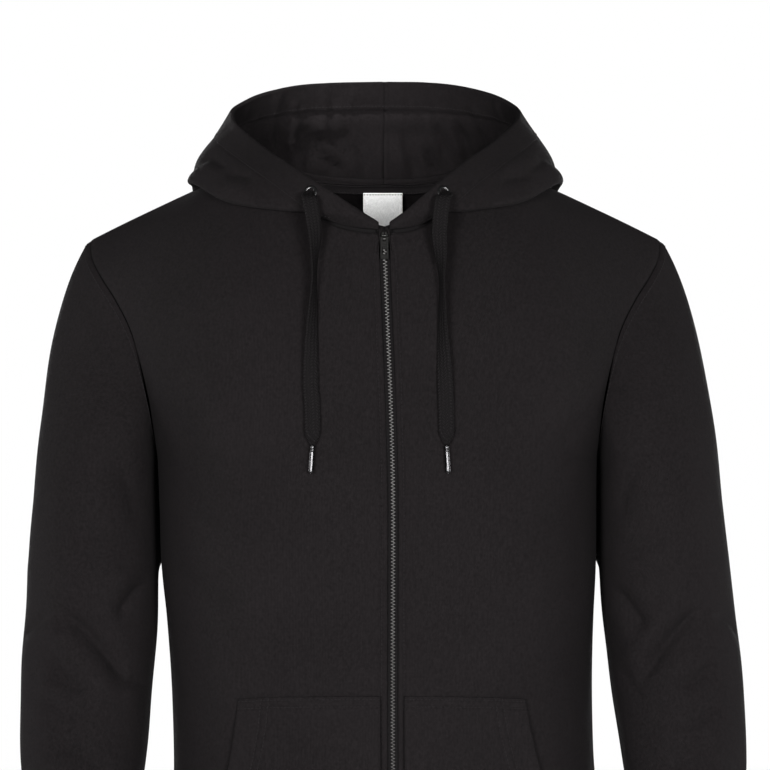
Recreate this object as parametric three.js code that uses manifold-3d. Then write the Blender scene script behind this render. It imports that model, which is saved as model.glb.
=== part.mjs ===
// A zip-up hooded sweatshirt of heavy cotton fleece, filled out as it is in wear, with its hood down.
// Millimetres, +Z up. X runs across the garment, and its front faces -Y. The origin is midway between the
// high points of the two shoulder seams, where the garment is carried.
import * as THREE from "three";
import { mergeVertices } from "three/addons/utils/BufferGeometryUtils.js";
import Module from "manifold-3d";

// Driving dimensions
const CLOTH = 2.2; // thickness of the fleece
const RIB_CLOTH = 2.4; // thickness of the ribbed bands at their valleys
const RIB_RISE = 0.9; // how far a rib stands up
const SEAM_GAP = 0.35; // two pieces that are sewn together stay this far apart
const LAID_GAP = 0.3; // a piece that lies on a panel stays this far off it
const ARMPIT_Z = -262; // height of the armpits under the shoulder points
const NECK = { halfWidth: 90, frontDrop: 70, frontY: -104, backDrop: 18, backY: 72, curve: 0.92 };
const NECK_POWERS = { frontY: 0.7, backY: 0.75, frontZ: 1.15, backZ: 0.85 }; // how the neckline leaves its centre lines
const SHOULDER_TIP = [252, 8, -72];
const SHOULDER_RISE = 3; // how far the shoulder seam bows up between its ends
const HEM = { top: -655, bottom: -720, ribs: 76 };
const HEM_EDGE = 8; // the ribs run out this far from the edges of a band
const CUFF = { top: -621, bottom: -686, ribs: 18 };
const FRONT_EDGE = 4.5; // from the middle of the zip to the edge of each front
const LEAN = { curve: 2.8e-5, until: -540, slope: 0.012 }; // how far the garment swings to one side as it hangs
const CENTRE_SPREAD = 50; // how far from the middle the zip's own drift to one side dies out
const CENTRE_DRIFT = [
  { z: -720, by: 6 },
  { z: -525, by: 7.9 },
  { z: -400, by: 11 },
  { z: -290, by: 13.2 },
  { z: -221, by: 12.5 },
  { z: -137, by: 10 },
  { z: -90, by: 8.5 },
  { z: 100, by: 8.5 },
];

// How finely each piece is divided
const COLUMNS = { frontNeck: 4, backNeck: 3, shoulder: 8 };
const ROWS = { below: 9, above: 8, sleeveHead: 6, sleeve: 24 };
const HOOD_GRID = { stations: 12, steps: 11, casingSteps: 2 };

// The body below the armpits: one row for each level. halfWidth is across, front and back are the depth at the
// centre seams, and seamTurn is how far round from the front the side seam lies, in degrees.
const BODY = [
  { z: -655, halfWidth: 178, front: -117, back: 104, seamTurn: 75 },
  { z: -628, halfWidth: 186, front: -123, back: 110, seamTurn: 76 },
  { z: -580, halfWidth: 185.6, front: -125, back: 111, seamTurn: 78 },
  { z: -520, halfWidth: 184.6, front: -125, back: 111, seamTurn: 81 },
  { z: -460, halfWidth: 184.8, front: -127, back: 112, seamTurn: 85 },
  { z: -400, halfWidth: 187.6, front: -131, back: 115, seamTurn: 88 },
  { z: -350, halfWidth: 191, front: -136, back: 119, seamTurn: 90 },
  { z: -300, halfWidth: 192.2, front: -140, back: 124, seamTurn: 90 },
  { z: -262, halfWidth: 193.2, front: -141.5, back: 127, seamTurn: 90 },
];
const SIDE_Y = 3; // depth of the widest line of the body
const ROUNDNESS = 0.84; // under 1 the body's section is squarer than an ellipse

// The centre front and centre back above the armpits
const CENTRE_ABOVE = [
  { z: -262, front: -141.5, back: 127 },
  { z: -220, front: -137, back: 127.5 },
  { z: -180, front: -130.5, back: 124.5 },
  { z: -130, front: -119.5, back: 115 },
  { z: -95, front: -110.5, back: 103 },
  { z: -70, front: -104, back: 93 },
  { z: -40, front: -98, back: 80.5 },
  { z: -18, front: -96, back: 72 },
];

// The armhole, from the shoulder tip down to the armpit, with the depth of its front and back halves
const ARMHOLE = [
  { x: 252, z: -72, front: 8, back: 8 },
  { x: 249.5, z: -88, front: -8, back: 24 },
  { x: 240, z: -106, front: -25, back: 40 },
  { x: 227, z: -126, front: -39, back: 53 },
  { x: 213.5, z: -152, front: -51, back: 63 },
  { x: 204, z: -183, front: -58, back: 68 },
  { x: 197, z: -214, front: -54, back: 63 },
  { x: 193.8, z: -243, front: -32, back: 40 },
  { x: 193.2, z: -262, front: 3, back: 3 },
];

// The sleeve below the armpit: the X of its inner and outer sides, and the Y of its front and back
const SLEEVE = [
  { z: -300, inner: 194.4, outer: 302.5, front: -66, back: 62 },
  { z: -350, inner: 194.2, outer: 307.5, front: -61, back: 64 },
  { z: -400, inner: 195.6, outer: 312.5, front: -57, back: 64 },
  { z: -440, inner: 199.4, outer: 316, front: -57, back: 59 },
  { z: -477, inner: 203, outer: 317.5, front: -61, back: 52 },
  { z: -512, inner: 207, outer: 318, front: -66, back: 45 },
  { z: -545, inner: 211.5, outer: 317.5, front: -71, back: 38 },
  { z: -580, inner: 217, outer: 316, front: -77, back: 29 },
  { z: -606, inner: 222, outer: 313, front: -81, back: 18 },
  { z: -621, inner: 230, outer: 305, front: -76, back: 0 },
];
const SLEEVE_ROUNDNESS = 0.92; // under 1 the sleeve's section is squarer than an ellipse
const SLEEVE_HEAD = { out: 33, down: 50, endOut: 5, endDown: 70 }; // how the sleeve head leaves the shoulder

// The largest folds of the sleeves: soft troughs across the front at the elbow, and across the back
const FOLDS = [
  { side: "front", fromX: 284, fromZ: -386, toX: 224, toZ: -458, depth: 6, width: 13 },
  { side: "front", fromX: 198, fromZ: -368, toX: 234, toZ: -420, depth: 5, width: 12 },
  { side: "front", fromX: 290, fromZ: -432, toX: 262, toZ: -452, depth: 3, width: 10 },
  { side: "front", fromX: 292, fromZ: -505, toX: 236, toZ: -540, depth: 4, width: 14 },
  { side: "back", fromX: 226, fromZ: -420, toX: 292, toZ: -470, depth: 5, width: 14 },
  { side: "back", fromX: 288, fromZ: -512, toX: 228, toZ: -556, depth: 5, width: 14 },
  { side: "back", fromX: 214, fromZ: -310, toX: 266, toZ: -352, depth: 4, width: 15 },
];

// The sleeve's inner side leans on the body behind the side seam, between these heights.
const REST = { y: 27, spread: 17, from: -262, full: -271, until: -346, end: -372, gap: 1.6, inside: 240 };
const CUFF_MOUTH = { inner: 234, outer: 301, front: -74, back: -6 };

// The hood, from the zip (neck 0) round to the centre back (neck 1). Each section runs from the neck seam down into
// the hood's slack, round its outer fold and up to the rim. lift raises the cloth off the shoulder, sag and tuck
// lower and draw in the bottom of the slack, and belly swells the outer wall. open runs from 0, where the cloth
// simply stands up from the seam, to 1, where it has the full slack.
const HOOD = [
  { at: 0, neck: 0, open: 0, foldX: 4.5, foldY: -106, foldZ: -66, rimX: 4.5, rimY: -106, rimZ: -61, lift: 0, sag: 0, tuck: 0, belly: 0 },
  { at: 1, neck: 0.15, open: 0, foldX: 27, foldY: -109, foldZ: -58, rimX: 22, rimY: -108, rimZ: -49, lift: 0, sag: 0, tuck: 0, belly: 1 },
  { at: 2, neck: 0.225, open: 0.15, foldX: 57, foldY: -105, foldZ: -51, rimX: 44, rimY: -106, rimZ: -33, lift: 6, sag: 2, tuck: 0, belly: 2 },
  { at: 3, neck: 0.3, open: 0.4, foldX: 80, foldY: -97, foldZ: -50, rimX: 62, rimY: -94, rimZ: -19, lift: 11, sag: 2, tuck: 0, belly: 3 },
  { at: 4, neck: 0.45, open: 0.9, foldX: 108, foldY: -84, foldZ: -46, rimX: 80, rimY: -72, rimZ: -5, lift: 13, sag: 6, tuck: 0, belly: 4 },
  { at: 5, neck: 0.525, open: 1, foldX: 136, foldY: -61, foldZ: -38, rimX: 101, rimY: -40, rimZ: 11, lift: 12, sag: 8, tuck: 0, belly: 5 },
  { at: 6, neck: 0.6, open: 1, foldX: 161, foldY: -14, foldZ: -23, rimX: 122, rimY: 0, rimZ: 30, lift: 10, sag: 2, tuck: 0, belly: 6 },
  { at: 7, neck: 0.6667, open: 1, foldX: 161, foldY: 34, foldZ: -28, rimX: 128.5, rimY: 38, rimZ: 43, lift: 12, sag: 4, tuck: 0, belly: 8 },
  { at: 8, neck: 0.7333, open: 1, foldX: 157, foldY: 86, foldZ: -60, rimX: 125, rimY: 68, rimZ: 52, lift: 12, sag: 12, tuck: 3, belly: 10 },
  { at: 9, neck: 0.8, open: 1, foldX: 137, foldY: 130, foldZ: -100, rimX: 106.5, rimY: 97, rimZ: 64, lift: 12, sag: 26, tuck: 6, belly: 12 },
  { at: 10, neck: 0.8667, open: 1, foldX: 104, foldY: 160, foldZ: -138, rimX: 76, rimY: 117, rimZ: 73, lift: 10, sag: 42, tuck: 9, belly: 12 },
  { at: 11, neck: 0.9333, open: 1, foldX: 57, foldY: 178, foldZ: -162, rimX: 40, rimY: 128, rimZ: 77, lift: 8, sag: 52, tuck: 11, belly: 12 },
  { at: 12, neck: 1, open: 1, foldX: 0, foldY: 184, foldZ: -170, rimX: 0, rimY: 131, rimZ: 78, lift: 8, sag: 56, tuck: 12, belly: 12 },
];
const HOOD_KNOTS = [0, 0.21, 0.41, 0.53, 0.77, 1]; // where the six points of a hood section lie along it
const HOOD_INNER = 0.45; // how far out, from neck to fold, the lifted point of the slack lies
const HOOD_BOTTOM = 0.84; // and its lowest point
const HOOD_CASING = { width: 25, thickness: 1.7, step: 0.6 }; // the hem that the drawcord runs in

// Small pieces
const POCKET = { top: -463, cornerDrop: 4, inner: 10, thickness: 2, rise: 0.9, steps: 9 };
const POCKET_EDGE = [
  { z: -467, x: 122 },
  { z: -495, x: 125 },
  { z: -525, x: 131 },
  { z: -565, x: 142 },
  { z: -600, x: 155 },
  { z: -618, x: 160 },
  { z: -654.6, x: 160 },
];
const ZIP = { fall: 0.09, teeth: 5.5, depth: 2.6, tape: 10, tapeThickness: 0.8, top: -77, recess: 1.4, box: 10, boxHalf: 3.9, stopTop: -69.6, stopBottom: -72.5 };
const SLIDER = {
  width: 8, height: 11.5, plate: 1.4, waist: 0.34, ringOut: 1.9, ringIn: 1, ringWidth: 1.8, ringAt: 1.7, barDrop: 3,
};
const SLIDER_POST = { width: 2.2, height: 1.8, z: -1.3 };
const SLIDER_BELOW_STOPS = 0.7;
const PULL = {
  width: 6.6, long: 18, thickness: 1.3, bar: 0.6, slot: 2.7, slotHalf: 1.3, window: [-6, -14], windowHalf: 1.9,
};
const EYELET = { outer: 6.3, inner: 3.2, chamfer: 0.9, rise: 1.2, lift: 0.8, at: 2.4, fromRim: 10.5 };
const LABEL = { width: 35.4, height: 50, thickness: 0.8, top: -27.5, y: 67.4, bow: 1.5 };
const NECK_TAPE = { height: 10, thickness: 1, rise: 1.15 };
const CORD = { width: 13, thickness: 2.2, sides: 8, steps: 22, neckLength: 14, bend: 6, mouth: 2.5 };
const AGLET = { radius: 2.1, length: 24, sides: 12 };

// The drawcords' routes, from in front of each eyelet to the aglet, as they hang: X, Y, Z, and how far the flat
// cord is turned about its length there, in degrees
const CORD_ROUTES = {
  right: [
    [-54.4, -118.8, -44, 4],
    [-50.6, -122.8, -69, 30],
    [-50.8, -125.8, -90, 62],
    [-51.0, -128.8, -112, 72],
    [-52.8, -133.4, -154, 40],
    [-53.8, -138, -196, 5],
    [-52.6, -140.2, -219, 0],
    [-52.0, -142.4, -250.5, 0],
  ],
  left: [
    [57.6, -118.8, -43, -3],
    [54.8, -122.8, -69, -10],
    [55.9, -125.8, -90, -40],
    [56.9, -128.8, -112, -70],
    [57.4, -133.4, -154, -50],
    [59.3, -138, -196, -10],
    [60.2, -140.2, -219, 0],
    [60.6, -142.4, -250.5, 0],
  ],
};
const CORD_TIPS = { right: [-53.6, -143.4, -275], left: [62, -143.4, -275] };

// Arithmetic
const lerp = (a, b, t) => a + (b - a) * t;
const mix = (p, q, t) => p.map((v, i) => lerp(v, q[i], t));
const plus = (p, q, k = 1) => p.map((v, i) => v + k * q[i]);
const minus = (p, q) => plus(p, q, -1);
const length = (p) => Math.hypot(...p);
const unit = (p) => p.map((v) => v / (length(p) || 1));
const cross = (p, q) => [p[1] * q[2] - p[2] * q[1], p[2] * q[0] - p[0] * q[2], p[0] * q[1] - p[1] * q[0]];
const dot = (p, q) => p[0] * q[0] + p[1] * q[1] + p[2] * q[2];
const range = (n) => Array.from({ length: n }, (_, i) => i);
const radians = (degrees) => (degrees * Math.PI) / 180;
const clamp01 = (t) => Math.min(1, Math.max(0, t));
const smoothStep = (t) => clamp01(t) ** 2 * (3 - 2 * clamp01(t));

// A smooth curve through values given at rising keys: cubic pieces whose slopes fit a parabola at each key.
function smoothCurve(keys, values, at) {
  const last = keys.length - 1;
  const rise = (i) => (values[i + 1] - values[i]) / (keys[i + 1] - keys[i]);
  const slope = (i) => {
    if (i === 0) return rise(0);
    if (i === last) return rise(last - 1);
    const before = keys[i] - keys[i - 1];
    const after = keys[i + 1] - keys[i];
    return (rise(i) * before + rise(i - 1) * after) / (before + after);
  };
  let i = 0;
  while (i < last - 1 && at > keys[i + 1]) i += 1;
  const h = keys[i + 1] - keys[i];
  const t = (at - keys[i]) / h;
  const a = (1 + 2 * t) * (1 - t) ** 2 * values[i] + t * (1 - t) ** 2 * h * slope(i);
  return a + t * t * (3 - 2 * t) * values[i + 1] + t * t * (t - 1) * h * slope(i + 1);
}

// One row of a table, worked out between its own rows.
function rowAt(table, key, at) {
  const keys = table.map((row) => row[key]);
  const names = Object.keys(table[0]);
  return Object.fromEntries(names.map((n) => [n, smoothCurve(keys, table.map((row) => row[n]), at)]));
}

// The point a share of the way along a polyline, by length.
function alongLine(points, share) {
  const steps = points.slice(1).map((p, i) => length(minus(p, points[i])));
  let left = share * steps.reduce((a, b) => a + b, 0);
  for (let i = 0; i < steps.length; i++) {
    if (left <= steps[i] || i === steps.length - 1) return mix(points[i], points[i + 1], left / steps[i]);
    left -= steps[i];
  }
}

// Moves a point of the symmetrical garment to where it hangs: its centre seams off the middle, and leaning.
function hang([x, y, z]) {
  const high = Math.max(Math.min(z, 0), LEAN.until);
  const lean = LEAN.curve * high ** 2 + LEAN.slope * Math.max(0, LEAN.until - z);
  return [x + rowAt(CENTRE_DRIFT, "z", z).by * Math.exp(-((x / CENTRE_SPREAD) ** 2)) + lean, y, z];
}

// The neckline, from the centre front round the shoulder point to the centre back, for the side with positive X.
function neckCurve(turn) {
  const c = Math.abs(Math.cos(turn));
  const front = turn < Math.PI / 2;
  return [
    NECK.halfWidth * Math.sin(turn) ** NECK.curve,
    front ? NECK.frontY * c ** NECK_POWERS.frontY : NECK.backY * c ** NECK_POWERS.backY,
    front ? -NECK.frontDrop * c ** NECK_POWERS.frontZ : -NECK.backDrop * c ** NECK_POWERS.backZ,
  ];
}
const neckHalf = (from, to) => range(61).map((i) => neckCurve(radians(lerp(from, to, i / 60))));
const FRONT_NECK = neckHalf(0, 90);
FRONT_NECK[0][0] = FRONT_EDGE;
const BACK_NECK = neckHalf(180, 90);
BACK_NECK[0][0] = 0;

// The corners of the neckline as the panels divide it, from the zip to the centre back.
const NECK_LINE = [
  ...range(COLUMNS.frontNeck + 1).map((i) => alongLine(FRONT_NECK, i / COLUMNS.frontNeck)),
  ...range(COLUMNS.backNeck)
    .map((i) => alongLine(BACK_NECK, i / COLUMNS.backNeck))
    .reverse(),
];
const neckAt = (share) => {
  const front = FRONT_SHARE;
  const n = share < front ? (share / front) * COLUMNS.frontNeck
    : COLUMNS.frontNeck + ((share - front) / (1 - front)) * COLUMNS.backNeck;
  const i = Math.min(Math.floor(n), NECK_LINE.length - 2);
  return mix(NECK_LINE[i], NECK_LINE[i + 1], n - i);
};
const FRONT_SHARE = 0.6; // how much of the half neckline lies in front of the shoulder point

// A point of the body's section at a level: turn runs from 0 at the centre front to 180 at the centre back.
function bodyPoint(z, turn) {
  const level = rowAt(BODY, "z", z);
  const a = radians(turn);
  const front = turn < 90;
  const start = front ? FRONT_EDGE * Math.cos(a) ** 2 : 0;
  const depth = front ? level.front : level.back;
  return [
    start + (level.halfWidth - start) * Math.abs(Math.sin(a)) ** ROUNDNESS,
    SIDE_Y + (depth - SIDE_Y) * Math.abs(Math.cos(a)) ** ROUNDNESS,
    z,
  ];
}

// The front or back half of the armhole, from the armpit up to the shoulder tip.
const armholeLine = (side) => ARMHOLE.map((row) => [row.x, row[side], row.z]).reverse();
const ARMHOLE_FINE = Object.fromEntries(
  ["front", "back"].map((side) => {
    const line = armholeLine(side);
    const keys = line.map((_, i) => i);
    const fine = range(81).map((i) => [0, 1, 2].map((k) => smoothCurve(keys, line.map((p) => p[k]), (i / 80) * 8)));
    return [side, fine];
  }),
);

// A point of a body panel above the armpits. across runs from the centre seam to the armhole and climb from the
// armpit to the top: the neckline and shoulder seam. It blends the four edges, as a Coons patch, with the depth
// following a quarter of an ellipse so that the cloth rounds over the shoulder.
function upperPoint(side, across, climb) {
  const angle = radians(90 * climb);
  const up = Math.sin(angle);
  const over = 1 - Math.cos(angle);
  const neckColumns = side === "front" ? COLUMNS.frontNeck : COLUMNS.backNeck;
  const corner = neckColumns / (neckColumns + COLUMNS.shoulder);
  const neck = side === "front" ? FRONT_NECK : BACK_NECK;
  const tip = neck[neck.length - 1];
  const seamAt = (t) => plus(mix(tip, SHOULDER_TIP, t), [0, 0, 4 * SHOULDER_RISE * t * (1 - t)]);
  const topAt = (s) => (s < corner ? alongLine(neck, s / corner) : seamAt((s - corner) / (1 - corner)));
  const turnAt = (s) => (side === "front" ? 90 * s : 180 - 90 * s);
  const top = topAt(across);
  const low = bodyPoint(ARMPIT_Z, turnAt(across));
  const weights = [over, over, up];
  const lowEnds = [bodyPoint(ARMPIT_Z, turnAt(0)), bodyPoint(ARMPIT_Z, turnAt(1))];
  const topEnds = [topAt(0), topAt(1)];
  const centreZ = lerp(ARMPIT_Z, topEnds[0][2], up);
  const centre = [topEnds[0][0], rowAt(CENTRE_ABOVE, "z", centreZ)[side], centreZ];
  const edge = alongLine(ARMHOLE_FINE[side], climb);
  return weights.map((w, k) => {
    const toCentre = centre[k] - lerp(lowEnds[0][k], topEnds[0][k], w);
    const toEdge = edge[k] - lerp(lowEnds[1][k], topEnds[1][k], w);
    return lerp(low[k], top[k], w) + toCentre * (1 - across) ** 2 + toEdge * across ** EDGE_BLEND;
  });
}

// A point of the front or back panel: across as above, and height from the hem seam (0) to the top (1).
const EDGE_BLEND = 1.6; // how gently the armhole's shape dies out towards the middle
const SPLIT = ROWS.below / (ROWS.below + ROWS.above);
function panelPoint(side, across, height) {
  if (height > SPLIT) return upperPoint(side, across, (height - SPLIT) / (1 - SPLIT));
  const z = lerp(HEM.top, ARMPIT_Z, height / SPLIT);
  const seam = rowAt(BODY, "z", z).seamTurn;
  return bodyPoint(z, side === "front" ? seam * across : lerp(180, seam, across));
}

// Grids: rows of points, grid[i][j]. The normal at each point is square to the grid there and follows outward.
function gridNormals(grid, closed, sign) {
  const last = grid.length - 1;
  return grid.map((row, i) =>
    row.map((_, j) => {
      const before = closed ? grid[(i + last) % (last + 1)] : grid[Math.max(i - 1, 0)];
      const after = closed ? grid[(i + 1) % (last + 1)] : grid[Math.min(i + 1, last)];
      const along = minus(row[Math.min(j + 1, row.length - 1)], row[Math.max(j - 1, 0)]);
      return unit(cross(minus(after[j], before[j]), along)).map((v) => v * sign);
    }),
  );
}

// A closed wall between a grid of outer points and a grid of inner points.
function wallGeometry(outer, inner, closed) {
  const rows = outer.length;
  const columns = outer[0].length;
  const positions = [...outer.flat(), ...inner.flat()].flat();
  const index = [];
  const at = (layer, i, j) => layer * rows * columns + (i % rows) * columns + j;
  const quad = (a, b, c, d) => index.push(a, b, c, a, c, d);
  const spans = closed ? rows : rows - 1;
  for (let i = 0; i < spans; i++) {
    for (let j = 0; j < columns - 1; j++) {
      quad(at(0, i, j), at(0, i + 1, j), at(0, i + 1, j + 1), at(0, i, j + 1));
      quad(at(1, i, j), at(1, i, j + 1), at(1, i + 1, j + 1), at(1, i + 1, j));
    }
    quad(at(1, i, 0), at(1, i + 1, 0), at(0, i + 1, 0), at(0, i, 0));
    quad(at(0, i, columns - 1), at(0, i + 1, columns - 1), at(1, i + 1, columns - 1), at(1, i, columns - 1));
  }
  if (!closed) {
    for (let j = 0; j < columns - 1; j++) {
      quad(at(0, 0, j), at(0, 0, j + 1), at(1, 0, j + 1), at(1, 0, j));
      quad(at(1, rows - 1, j), at(1, rows - 1, j + 1), at(0, rows - 1, j + 1), at(0, rows - 1, j));
    }
  }
  const geometry = new THREE.BufferGeometry();
  geometry.setAttribute("position", new THREE.Float32BufferAttribute(positions, 3));
  geometry.setIndex(index);
  return faceOut(geometry);
}

// Turns a closed surface so that its faces point out.
function faceOut(geometry) {
  if (signedVolume(geometry) > 0) return geometry;
  const index = [...geometry.getIndex().array];
  for (let i = 0; i < index.length; i += 3) [index[i + 1], index[i + 2]] = [index[i + 2], index[i + 1]];
  geometry.setIndex(index);
  return geometry;
}

function signedVolume(geometry) {
  const p = geometry.getAttribute("position");
  const index = geometry.getIndex();
  const point = (i) => [p.getX(index.getX(i)), p.getY(index.getX(i)), p.getZ(index.getX(i))];
  return range(index.count / 3).reduce((sum, t) => sum + dot(point(3 * t), cross(point(3 * t + 1), point(3 * t + 2))), 0);
}

const offset = (grid, normals, by) => grid.map((row, i) => row.map((p, j) => plus(p, normals[i][j], by)));
const mirror = (grid) => grid.map((row) => row.map(([x, y, z]) => [-x, y, z]));
const hung = (grid) => grid.map((row) => row.map(hang));

// Materials
const fleece = new THREE.MeshStandardMaterial({ color: 0x211f20, roughness: 0.93, metalness: 0 });
const rib = new THREE.MeshStandardMaterial({ color: 0x1e1c1d, roughness: 0.95, metalness: 0 });
const braid = new THREE.MeshStandardMaterial({ color: 0x181617, roughness: 0.9, metalness: 0 });
const tapeCloth = new THREE.MeshStandardMaterial({ color: 0x141314, roughness: 0.85, metalness: 0 });
const nickel = new THREE.MeshStandardMaterial({ color: 0xb9b8b5, roughness: 0.3, metalness: 1 });
const darkMetal = new THREE.MeshStandardMaterial({ color: 0x2b2a2b, roughness: 0.35, metalness: 1 });
const satin = new THREE.MeshStandardMaterial({ color: 0xf4f4f2, roughness: 0.6, metalness: 0 });

const hoodie = new THREE.Group();
hoodie.name = "hoodie";
function add(name, geometry, material) {
  const mesh = new THREE.Mesh(geometry, material);
  mesh.name = name;
  hoodie.add(mesh);
  return mesh;
}

const SIDES = { right: -1, left: 1 }; // the side of the body that each piece is worn on, and the sign of its X

// The two halves of the body's cloth: grids of the front and the back for positive X, and their normals. Along the
// side, shoulder and armhole seams the neighbours share one normal, so that their cut edges stay parallel.
const HEIGHTS = ROWS.below + ROWS.above;
function panelGrid(side) {
  const columns = (side === "front" ? COLUMNS.frontNeck : COLUMNS.backNeck) + COLUMNS.shoulder;
  return range(columns + 1).map((i) => range(HEIGHTS + 1).map((j) => panelPoint(side, i / columns, j / HEIGHTS)));
}

function sleeveSection(level, turn) {
  const middle = [(level.inner + level.outer) / 2, (level.front + level.back) / 2];
  const half = [(level.outer - level.inner) / 2, (level.back - level.front) / 2];
  const c = Math.cos(turn);
  const s = Math.sin(turn);
  const square = (v) => Math.sign(v) * Math.abs(v) ** SLEEVE_ROUNDNESS;
  return [middle[0] + half[0] * square(c), middle[1] - half[1] * square(s)];
}

// The sleeve, as lines that run down it from the armhole. round counts the lines, from the shoulder tip forwards.
function sleevePoint(start, round, down) {
  const turn = 2 * Math.PI * round;
  const first = SLEEVE[0];
  if (down <= HEAD_SHARE) {
    const t = down / HEAD_SHARE;
    const [x, y] = sleeveSection(first, turn);
    const end = [x, y, first.z];
    const top = Math.max(0, Math.cos(turn));
    const reach = (start[2] - first.z) / (SHOULDER_TIP[2] - first.z);
    const pull = [SLEEVE_HEAD.out * top, 0, -SLEEVE_HEAD.down * reach];
    const a = plus(start, pull);
    const b = plus(end, [-SLEEVE_HEAD.endOut * top, 0, SLEEVE_HEAD.endDown * reach]);
    return [0, 1, 2].map(
      (k) => (1 - t) ** 3 * start[k] + 3 * t * (1 - t) ** 2 * a[k] + 3 * t * t * (1 - t) * b[k] + t ** 3 * end[k],
    );
  }
  const z = lerp(first.z, CUFF.top + SEAM_GAP, (down - HEAD_SHARE) / (1 - HEAD_SHARE));
  const down2 = rowAt(SLEEVE_UP, "z", z);
  return [...sleeveSection(down2, turn), z];
}
const SLEEVE_UP = [...SLEEVE].reverse();
const HEAD_SHARE = ROWS.sleeveHead / ROWS.sleeve; // the share of a sleeve's rows that form its head

// Half the body's width at a depth and a height
function bodySide(y, z) {
  const level = rowAt(BODY, "z", z);
  const depth = y < SIDE_Y ? level.front : level.back;
  const c = Math.abs((y - SIDE_Y) / (depth - SIDE_Y)) ** (1 / ROUNDNESS);
  return level.halfWidth * Math.sqrt(Math.max(0, 1 - c * c)) ** ROUNDNESS;
}

// A point of the sleeve as it rests against the body below the armpit
function restOnBody([x, y, z]) {
  const down = smoothStep((REST.from - z) / (REST.from - REST.full));
  const up = smoothStep((z - REST.end) / (REST.until - REST.end));
  const near = Math.exp(-(((y - REST.y) / REST.spread) ** 2)) * Math.min(down, up);
  const free = x - bodySide(y, Math.min(z, REST.from)) - REST.gap;
  return x > REST.inside || free < 0 ? [x, y, z] : [x - near * free, y, z];
}

// How far the folds press the cloth in at a point that faces that way
function foldDepth([x, , z], facing) {
  return FOLDS.reduce((sum, fold) => {
    const run = [fold.toX - fold.fromX, fold.toZ - fold.fromZ];
    const share = ((x - fold.fromX) * run[0] + (z - fold.fromZ) * run[1]) / (run[0] ** 2 + run[1] ** 2);
    const t = Math.min(1, Math.max(0, share));
    const away = Math.hypot(x - fold.fromX - t * run[0], z - fold.fromZ - t * run[1]) / fold.width;
    const seen = Math.max(0, fold.side === "front" ? -facing[1] : facing[1]);
    return sum + fold.depth * seen * Math.exp(-(away ** 2));
  }, 0);
}

// The hood's section at a station, as a point a share of the way from the neck seam to the rim.
function hoodPoint(station, share) {
  const row = rowAt(HOOD, "at", station);
  const neck = plus(neckAt(row.neck), [0, 0, 1.5 * SEAM_GAP]);
  const fold = [row.foldX, row.foldY, row.foldZ];
  const rim = [row.rimX, row.rimY, row.rimZ];
  const level = unit([fold[0] - neck[0], fold[1] - neck[1], 0]);
  const inner = plus(mix(neck, fold, HOOD_INNER), [0, 0, row.lift]);
  const bottom = plus(plus(mix(neck, fold, HOOD_BOTTOM), level, -row.tuck), [0, 0, -row.sag]);
  const swell = plus(mix(fold, rim, 0.5), level, row.belly);
  const points = [neck, inner, bottom, fold, swell, rim];
  const slack = [0, 1, 2].map((k) => smoothCurve(HOOD_KNOTS, points.map((p) => p[k]), share));
  const control = plus(plus(fold, fold), mix(neck, rim, 0.5), -1);
  const upright = mix(mix(neck, control, share), mix(control, rim, share), share);
  return mix(upright, slack, Math.min(1, Math.max(0, row.open)));
}

// The shares of a section at which the wall's points lie: even steps to the casing's edge, a short step there, and
// even steps over the casing to the rim.
function hoodShares(station) {
  const fine = range(41).map((k) => hoodPoint(station, k / 40));
  const run = fine.slice(1).reduce((sum, p, k) => sum + length(minus(p, fine[k])), 0);
  const edge = Math.max(0.6, 1 - HOOD_CASING.width / run);
  const { steps, casingSteps } = HOOD_GRID;
  const over = (k) => lerp(edge + HOOD_CASING.step / run, 1, k / casingSteps);
  return [...range(steps + 1).map((k) => (edge * k) / steps), ...range(casingSteps + 1).map(over)];
}

function hoodGrid() {
  const { stations } = HOOD_GRID;
  const last = HOOD.length - 1;
  const grid = range(stations + 1).map((i) => {
    const station = (last * i) / stations;
    return hoodShares(station).map((share) => hoodPoint(station, share));
  });
  grid[stations].forEach((p) => (p[0] = SEAM_GAP / 2));
  return grid;
}

// The seam normals: where two walls meet at less than a right angle they share one, otherwise each keeps its own.
function shareNormal(a, b) {
  const w = Math.min(1, Math.max(0, (dot(a, b) + 0.1) / 0.5));
  return [unit(plus(a, b, w)), unit(plus(b, a, w))];
}

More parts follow.
